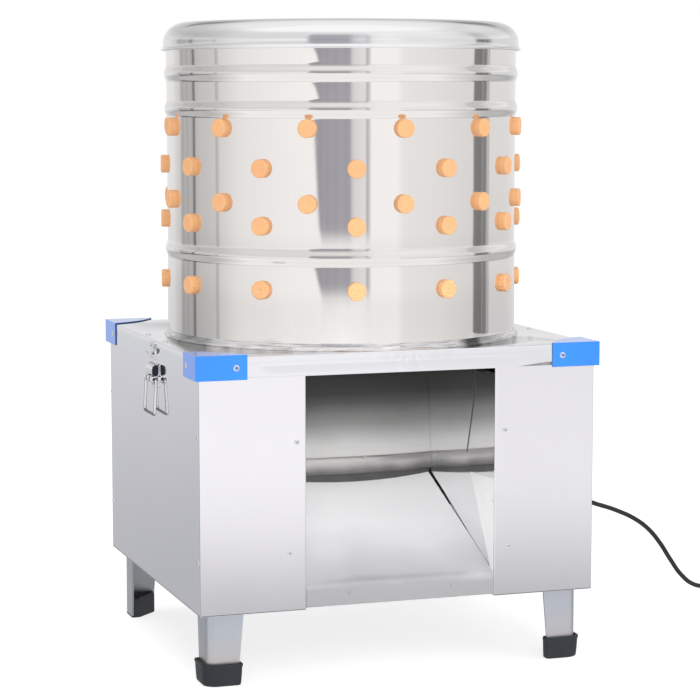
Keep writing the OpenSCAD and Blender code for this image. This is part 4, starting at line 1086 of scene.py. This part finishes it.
# ------------------------------------------------------------------ plucking plate
b = Build()
prof = [(10.1, 451.0), (10.1, 455.0), (60, 455.0), (62, 454.7), (64, 455.0), (218, 455.0), (221.5, 454.7), (223.4, 453.9), (223.9, 453.0), (223.4, 451.9), (221.5, 451.1), (218, 451.0)]
b.lathe(prof, 192, 0, None, ring=True)
b.obj("plucking_plate_disc", [DISC], "rotor", ["plucking_plate"], sharp=40)

# ------------------------------------------------------------------ drive parts keep their solids
smooth_tree = bpy.data.node_groups.new("smooth_by_angle", "GeometryNodeTree")
smooth_tree.interface.new_socket("Geometry", in_out="INPUT", socket_type="NodeSocketGeometry")
smooth_tree.interface.new_socket("Geometry", in_out="OUTPUT", socket_type="NodeSocketGeometry")
gi = smooth_tree.nodes.new("NodeGroupInput")
go = smooth_tree.nodes.new("NodeGroupOutput")
merge = smooth_tree.nodes.new("GeometryNodeMergeByDistance")
merge.inputs["Distance"].default_value = 1e-6
all_smooth = smooth_tree.nodes.new("GeometryNodeSetShadeSmooth")
all_smooth.domain = "FACE"
edge_angle = smooth_tree.nodes.new("GeometryNodeInputMeshEdgeAngle")
over = smooth_tree.nodes.new("FunctionNodeCompare")
over.data_type = "FLOAT"
over.operation = "GREATER_THAN"
over.inputs["B"].default_value = math.radians(32)
edges = smooth_tree.nodes.new("GeometryNodeSetShadeSmooth")
edges.domain = "EDGE"
edges.inputs["Shade Smooth"].default_value = False
smooth_tree.links.new(gi.outputs[0], merge.inputs["Geometry"])
smooth_tree.links.new(merge.outputs["Geometry"], all_smooth.inputs["Geometry"])
smooth_tree.links.new(all_smooth.outputs["Geometry"], edges.inputs["Geometry"])
smooth_tree.links.new(edge_angle.outputs["Unsigned Angle"], over.inputs["A"])
smooth_tree.links.new(over.outputs["Result"], edges.inputs["Selection"])
smooth_tree.links.new(edges.outputs["Geometry"], go.inputs[0])

KEPT = {
    "feather_tray": PANEL, "upper_beam": FRAME, "lower_beam": FRAME, "base_rails": FRAME, "motor_plate": FRAME,
    "upper_bearing": CAST, "lower_bearing": CAST, "motor_housing": MOTOR, "motor_fan_cover": MOTOR, "terminal_box": BLACK,
    "drive_belt": BELT, "frame_bolts": BRIGHT, "drive_shaft": BRIGHT, "plate_hub": CAST, "hub_nut": BRIGHT, "hub_bolts": BRIGHT,
    "sweeper_blades": FRAME, "driven_pulley": CAST, "motor_shaft": BRIGHT, "motor_pulley": CAST,
}
for name, m in KEPT.items():
    o = NODES[name]
    o.data.materials.clear()
    o.data.materials.append(m)
    g = o.modifiers.new("smooth", "NODES")
    g.node_group = smooth_tree

# ------------------------------------------------------------------ floor, world, light
floor_mat = bpy.data.materials.new("floor_paper")
floor_mat.use_nodes = True
t = floor_mat.node_tree
for n in list(t.nodes):
    t.nodes.remove(n)
out = t.nodes.new("ShaderNodeOutputMaterial")
mix = t.nodes.new("ShaderNodeMixShader")
dif = t.nodes.new("ShaderNodeBsdfDiffuse")
emi = t.nodes.new("ShaderNodeEmission")
tc = t.nodes.new("ShaderNodeTexCoord")
no = t.nodes.new("ShaderNodeTexNoise")
cr = t.nodes.new("ShaderNodeValToRGB")
no.inputs["Scale"].default_value = 40.0
cr.color_ramp.elements[0].color = (0.90, 0.90, 0.90, 1)
cr.color_ramp.elements[1].color = (0.93, 0.93, 0.93, 1)
t.links.new(tc.outputs["Object"], no.inputs["Vector"])
t.links.new(no.outputs["Fac"], cr.inputs["Fac"])
t.links.new(cr.outputs["Color"], dif.inputs["Color"])
emi.inputs["Color"].default_value = (1, 1, 1, 1)
emi.inputs["Strength"].default_value = 1.34
mix.inputs[0].default_value = 0.55
t.links.new(dif.outputs[0], mix.inputs[1])
t.links.new(emi.outputs[0], mix.inputs[2])
t.links.new(mix.outputs[0], out.inputs[0])
fm = bpy.data.meshes.new("floor")
ring = [(14 * math.cos(2 * math.pi * k / 96), 14 * math.sin(2 * math.pi * k / 96), 0.0) for k in range(96)]
fm.from_pydata(ring, [], [list(range(96))])
fm.materials.append(floor_mat)
floor = bpy.data.objects.new("floor", fm)
floor.location.z = -0.0002
floor.visible_glossy = False
scene.collection.objects.link(floor)

world = bpy.data.worlds.new("studio")
scene.world = world
world.use_nodes = True
w = world.node_tree
for n in list(w.nodes):
    w.nodes.remove(n)


def wn(kind, **props):
    n = w.nodes.new(kind)
    for k, v in props.items():
        setattr(n, k, v)
    return n


def wm(op, a, b=None, c=None):
    n = wn("ShaderNodeMath", operation=op)
    for i, s in enumerate((a, b, c)):
        if s is None:
            continue
        if isinstance(s, (int, float)):
            n.inputs[i].default_value = s
        else:
            w.links.new(s, n.inputs[i])
    return n.outputs[0]


def wramp(fac, stops):
    n = wn("ShaderNodeValToRGB")
    e = n.color_ramp.elements
    while len(e) < len(stops):
        e.new(0.5)
    for el, (p, c) in zip(e, stops):
        el.position = p
        el.color = (*c, 1.0) if hasattr(c, "__len__") else (c, c, c, 1.0)
    w.links.new(fac, n.inputs[0])
    return n.outputs["Color"]


wtc = wn("ShaderNodeTexCoord")
sep = wn("ShaderNodeSeparateXYZ")
w.links.new(wtc.outputs["Generated"], sep.inputs[0])
az = wm("ARCTAN2", sep.outputs["X"], wm("MULTIPLY", sep.outputs["Y"], -1.0))
az = wm("WRAP", wm("SUBTRACT", az, VIEW_AZ), math.pi, -math.pi)
az = wm("ADD", wm("MULTIPLY", az, 1 / (2 * math.pi)), 0.5)
el = wm("ADD", wm("MULTIPLY", wm("ARCSINE", sep.outputs["Z"]), 1 / math.pi), 0.5)


def A(deg):
    return 0.5 + deg / 360.0


def E(deg):
    return 0.5 + deg / 180.0


# dark room openings between the white walls of the studio, by direction round the set
walls_left = wramp(az, [
    (A(-180), 0.80), (A(-160), 0.79), (A(-144), 0.78), (A(-138), 0.68), (A(-131.2), 0.63), (A(-129.8), 0.45), (A(-126.5), 0.40), (A(-123.5), 0.48), (A(-120.5), 0.39), (A(-117.5), 0.48),
    (A(-113.2), 0.42), (A(-112.4), 0.15), (A(-111.2), 0.15), (A(-110.4), 0.50), (A(-104), 0.55), (A(-95), 0.58), (A(-89.2), 0.61), (A(-88.4), 0.38), (A(-87.6), 0.38), (A(-86.8), 0.65),
    (A(-69), 0.79), (A(-33), 0.89), (A(-18), 0.91), (A(0), 1.0)])
walls_right = wramp(az, [
    (A(0), 1.0), (A(19), 0.91), (A(36.6), 0.915), (A(40.2), 0.82), (A(46), 0.80), (A(60), 0.78), (A(76), 0.74), (A(96.0), 0.71), (A(97.0), 0.22), (A(104.5), 0.20), (A(105.5), 0.31), (A(106.5), 0.22), (A(110.2), 0.25),
    (A(111.2), 0.60), (A(112.2), 0.30), (A(113.4), 0.73), (A(140), 0.73), (A(165), 0.80), (A(180), 0.80)])
walls_mix = wn("ShaderNodeMix", data_type="RGBA", blend_type="DARKEN")
walls_mix.inputs[0].default_value = 1.0
w.links.new(walls_left, walls_mix.inputs[6])
w.links.new(walls_right, walls_mix.inputs[7])
# short bars low in the left opening, seen only in the beads
bar_az = wramp(az, [(A(-131), 1.0), (A(-128), 0.30), (A(-96), 0.34), (A(-90), 1.0)])
bar_el = wramp(el, [(E(-15), 0.0), (E(-13), 1.0), (E(-9.5), 1.0), (E(-8), 0.0)])
walls_bar = wn("ShaderNodeMix", data_type="RGBA", blend_type="MULTIPLY")
w.links.new(bar_el, walls_bar.inputs[0])
w.links.new(walls_mix.outputs[2], walls_bar.inputs[6])
w.links.new(bar_az, walls_bar.inputs[7])
dim_az = wramp(az, [(A(37), 1.0), (A(41), 0.88), (A(60), 0.88), (A(75), 1.0)])
dim_el = wramp(el, [(E(-16), 0.0), (E(-14), 1.0), (E(-11.2), 1.0), (E(-10.2), 0.0)])
walls_dim = wn("ShaderNodeMix", data_type="RGBA", blend_type="MULTIPLY")
w.links.new(dim_el, walls_dim.inputs[0])
w.links.new(walls_bar.outputs[2], walls_dim.inputs[6])
w.links.new(dim_az, walls_dim.inputs[7])
walls = walls_dim.outputs[2]
V = (0.364, 0.362, 0.410)
centre_in = wramp(az, [(A(-30), V), (A(-15), V), (A(-13), shade(V, 0.94)), (A(-11.5), shade(V, 1.06)), (A(-9), shade(V, 0.96)), (A(-6), shade(V, 1.05)), (A(-3.5), shade(V, 0.95)), (A(0), shade(V, 1.04)), (A(3), shade(V, 0.98)),
                       (A(5.5), V), (A(7.6), (0.70, 0.695, 0.71)), (A(15.6), (0.82, 0.815, 0.83)), (A(16.8), (0.46, 0.455, 0.47)), (A(17.8), (0.48, 0.475, 0.49)), (A(18.8), 1.0)])
# the left edge of the middle opening leans
lean = wm("SUBTRACT", wm("ADD", az, wm("MULTIPLY", wm("MINIMUM", el, E(2)), 0.6035)), 0.29907)
centre_edge = wramp(lean, [(A(-17.6), 1.0), (A(-16.0), 0.0)])
centre_mix = wn("ShaderNodeMix", data_type="RGBA", blend_type="LIGHTEN")
centre_mix.inputs[0].default_value = 1.0
w.links.new(centre_in, centre_mix.inputs[6])
w.links.new(centre_edge, centre_mix.inputs[7])
centre = centre_mix.outputs[2]
front = wramp(el, [(E(-90), 0.80), (E(-40), 0.95), (E(-20), 1.0), (E(-16.5), 0.95), (E(-14.8), 0.72), (E(-13.4), 0.52), (E(-12.4), 0.585), (E(-11.54), 0.83), (E(-10.8), 0.95), (E(-10.0), 1.01), (E(-9.4), 1.04), (E(-7.6), 1.02),
                   (E(-6.6), 1.025), (E(-6.2), 0.95), (E(-5.8), 0.90), (E(-5.4), 0.93), (E(-4.6), 1.0), (E(4), 1.0), (E(7), 0.95), (E(11), 0.77), (E(40), 0.80), (E(52), 1.06), (E(80), 1.05), (E(90), 1.0)])
back = wramp(el, [(E(-90), 0.62), (E(-30), 0.52), (E(-12), (0.555, 0.567, 0.582)), (E(-6.5), (0.785, 0.797, 0.815)), (E(-3), 0.96), (E(0), 1.0), (E(4), 0.93), (E(7), 0.88), (E(12), 0.74), (E(20), 0.62), (E(38), 0.64), (E(55), 0.9), (E(90), 1.0)])
level = wramp(el, [(E(-18), 0.0), (E(-10), 1.0), (E(5), 1.0), (E(9), 0.30), (E(26), 0.30), (E(38), 0.0)])
behind = wramp(az, [(A(-180), 1.0), (A(-100), 1.0), (A(-70), 0.0), (A(70), 0.0), (A(115), 1.0), (A(180), 1.0)])
mixe = wn("ShaderNodeMix", data_type="RGBA")
w.links.new(behind, mixe.inputs[0])
w.links.new(front, mixe.inputs[6])
w.links.new(back, mixe.inputs[7])
mul = wn("ShaderNodeMix", data_type="RGBA", blend_type="MULTIPLY")
mul.inputs[0].default_value = 1.0
low = wramp(el, [(E(-5.3), 0.0), (E(-4.3), 0.80), (E(-3.7), 1.0), (E(6), 1.0), (E(10), 0.72), (E(26), 0.72), (E(36), 0.0)])
middle = wn("ShaderNodeMix", data_type="RGBA", blend_type="MULTIPLY")
w.links.new(low, middle.inputs[0])
w.links.new(centre, middle.inputs[7])
streak = wn("ShaderNodeTexNoise", noise_dimensions="1D")
streak.inputs["Scale"].default_value = 130.0
streak.inputs["Detail"].default_value = 3.0
w.links.new(az, streak.inputs["W"])
streaks = wramp(streak.outputs["Fac"], [(0.32, 0.90), (0.68, 1.06)])
drawn = wn("ShaderNodeMix", data_type="RGBA", blend_type="MULTIPLY")
drawn.inputs[0].default_value = 0.10
w.links.new(walls, drawn.inputs[6])
w.links.new(streaks, drawn.inputs[7])
banded = wn("ShaderNodeMix", data_type="RGBA")
banded.inputs[6].default_value = (0.91, 0.91, 0.91, 1.0)
w.links.new(level, banded.inputs[0])
w.links.new(drawn.outputs[2], banded.inputs[7])
w.links.new(banded.outputs[2], middle.inputs[6])
w.links.new(middle.outputs[2], mul.inputs[6])
w.links.new(mixe.outputs[2], mul.inputs[7])
# dark beams overhead behind the set, and a paler wall on the right, both seen in the splash ring
beam_az = wramp(az, [(A(-170), 1.0), (A(-166), 0.50), (A(-157), 0.50), (A(-152), 1.0), (A(150), 1.0), (A(156), 0.45), (A(164), 0.45), (A(170), 1.0)])
beam_el = wramp(el, [(E(23), 0.0), (E(26), 1.0), (E(37), 1.0), (E(42), 0.0)])
beams = wn("ShaderNodeMix", data_type="RGBA", blend_type="MULTIPLY")
w.links.new(beam_el, beams.inputs[0])
w.links.new(mul.outputs[2], beams.inputs[6])
w.links.new(beam_az, beams.inputs[7])
pale_az = wramp(az, [(A(8), 1.0), (A(26), 1.2), (A(80), 1.2), (A(100), 1.12), (A(118), 1.28), (A(140), 1.30), (A(150), 1.0)])
pale_el = wramp(el, [(E(8), 0.0), (E(12), 1.0), (E(38), 1.0), (E(46), 0.0)])
pale = wn("ShaderNodeMix", data_type="RGBA", blend_type="MULTIPLY")
w.links.new(pale_el, pale.inputs[0])
w.links.new(beams.outputs[2], pale.inputs[6])
w.links.new(pale_az, pale.inputs[7])
tint = wn("ShaderNodeMix", data_type="RGBA", blend_type="MULTIPLY")
tint.inputs[0].default_value = 1.0
tint.inputs[7].default_value = (1.0, 1.0, 1.0, 1.0)
w.links.new(pale.outputs[2], tint.inputs[6])
lp = wn("ShaderNodeLightPath")
bg_glossy = wn("ShaderNodeBackground")
w.links.new(tint.outputs[2], bg_glossy.inputs[0])
bg_glossy.inputs[1].default_value = 1.08
bg_soft = wn("ShaderNodeBackground")
bg_soft.inputs[0].default_value = (1.0, 1.0, 1.0, 1.0)
bg_soft.inputs[1].default_value = 0.72
bg_white = wn("ShaderNodeBackground")
bg_white.inputs[0].default_value = (1.0, 1.0, 1.0, 1.0)
bg_white.inputs[1].default_value = 1.0
m1 = wn("ShaderNodeMixShader")
w.links.new(lp.outputs["Is Glossy Ray"], m1.inputs[0])
w.links.new(bg_soft.outputs[0], m1.inputs[1])
w.links.new(bg_glossy.outputs[0], m1.inputs[2])
m2 = wn("ShaderNodeMixShader")
w.links.new(lp.outputs["Is Camera Ray"], m2.inputs[0])
w.links.new(m1.outputs[0], m2.inputs[1])
w.links.new(bg_white.outputs[0], m2.inputs[2])
wout = wn("ShaderNodeOutputWorld")
w.links.new(m2.outputs[0], wout.inputs[0])


def area(name, where, target, size, power):
    d = bpy.data.lights.new(name, "AREA")
    d.shape = "DISK"
    d.size = size
    d.energy = power
    o = bpy.data.objects.new(name, d)
    o.location = where
    o.rotation_euler = (Vector(target) - Vector(where)).to_track_quat("-Z", "Y").to_euler()
    o.visible_glossy = False
    scene.collection.objects.link(o)
    return o


area("key", (-0.9, -3.3, 2.6), (0, 0, 0.45), 2.2, 44)
area("fill", (2.4, -2.4, 1.8), (0, 0, 0.5), 2.2, 18)
area("top", (0.0, 0.2, 3.4), (0, 0, 0.5), 2.6, 30)
beam = bpy.data.lights.new("chute_beam", "SPOT")
beam.energy = 340
beam.spot_size = math.radians(11)
beam.spot_blend = 0.6
beam.shadow_soft_size = 0.3
beam_o = bpy.data.objects.new("chute_beam", beam)
beam_o.location = (-0.30, -2.40, 0.52)
beam_o.rotation_euler = (Vector((0.02, -0.12, 0.215)) - beam_o.location).to_track_quat("-Z", "Y").to_euler()
beam_o.visible_glossy = False
scene.collection.objects.link(beam_o)
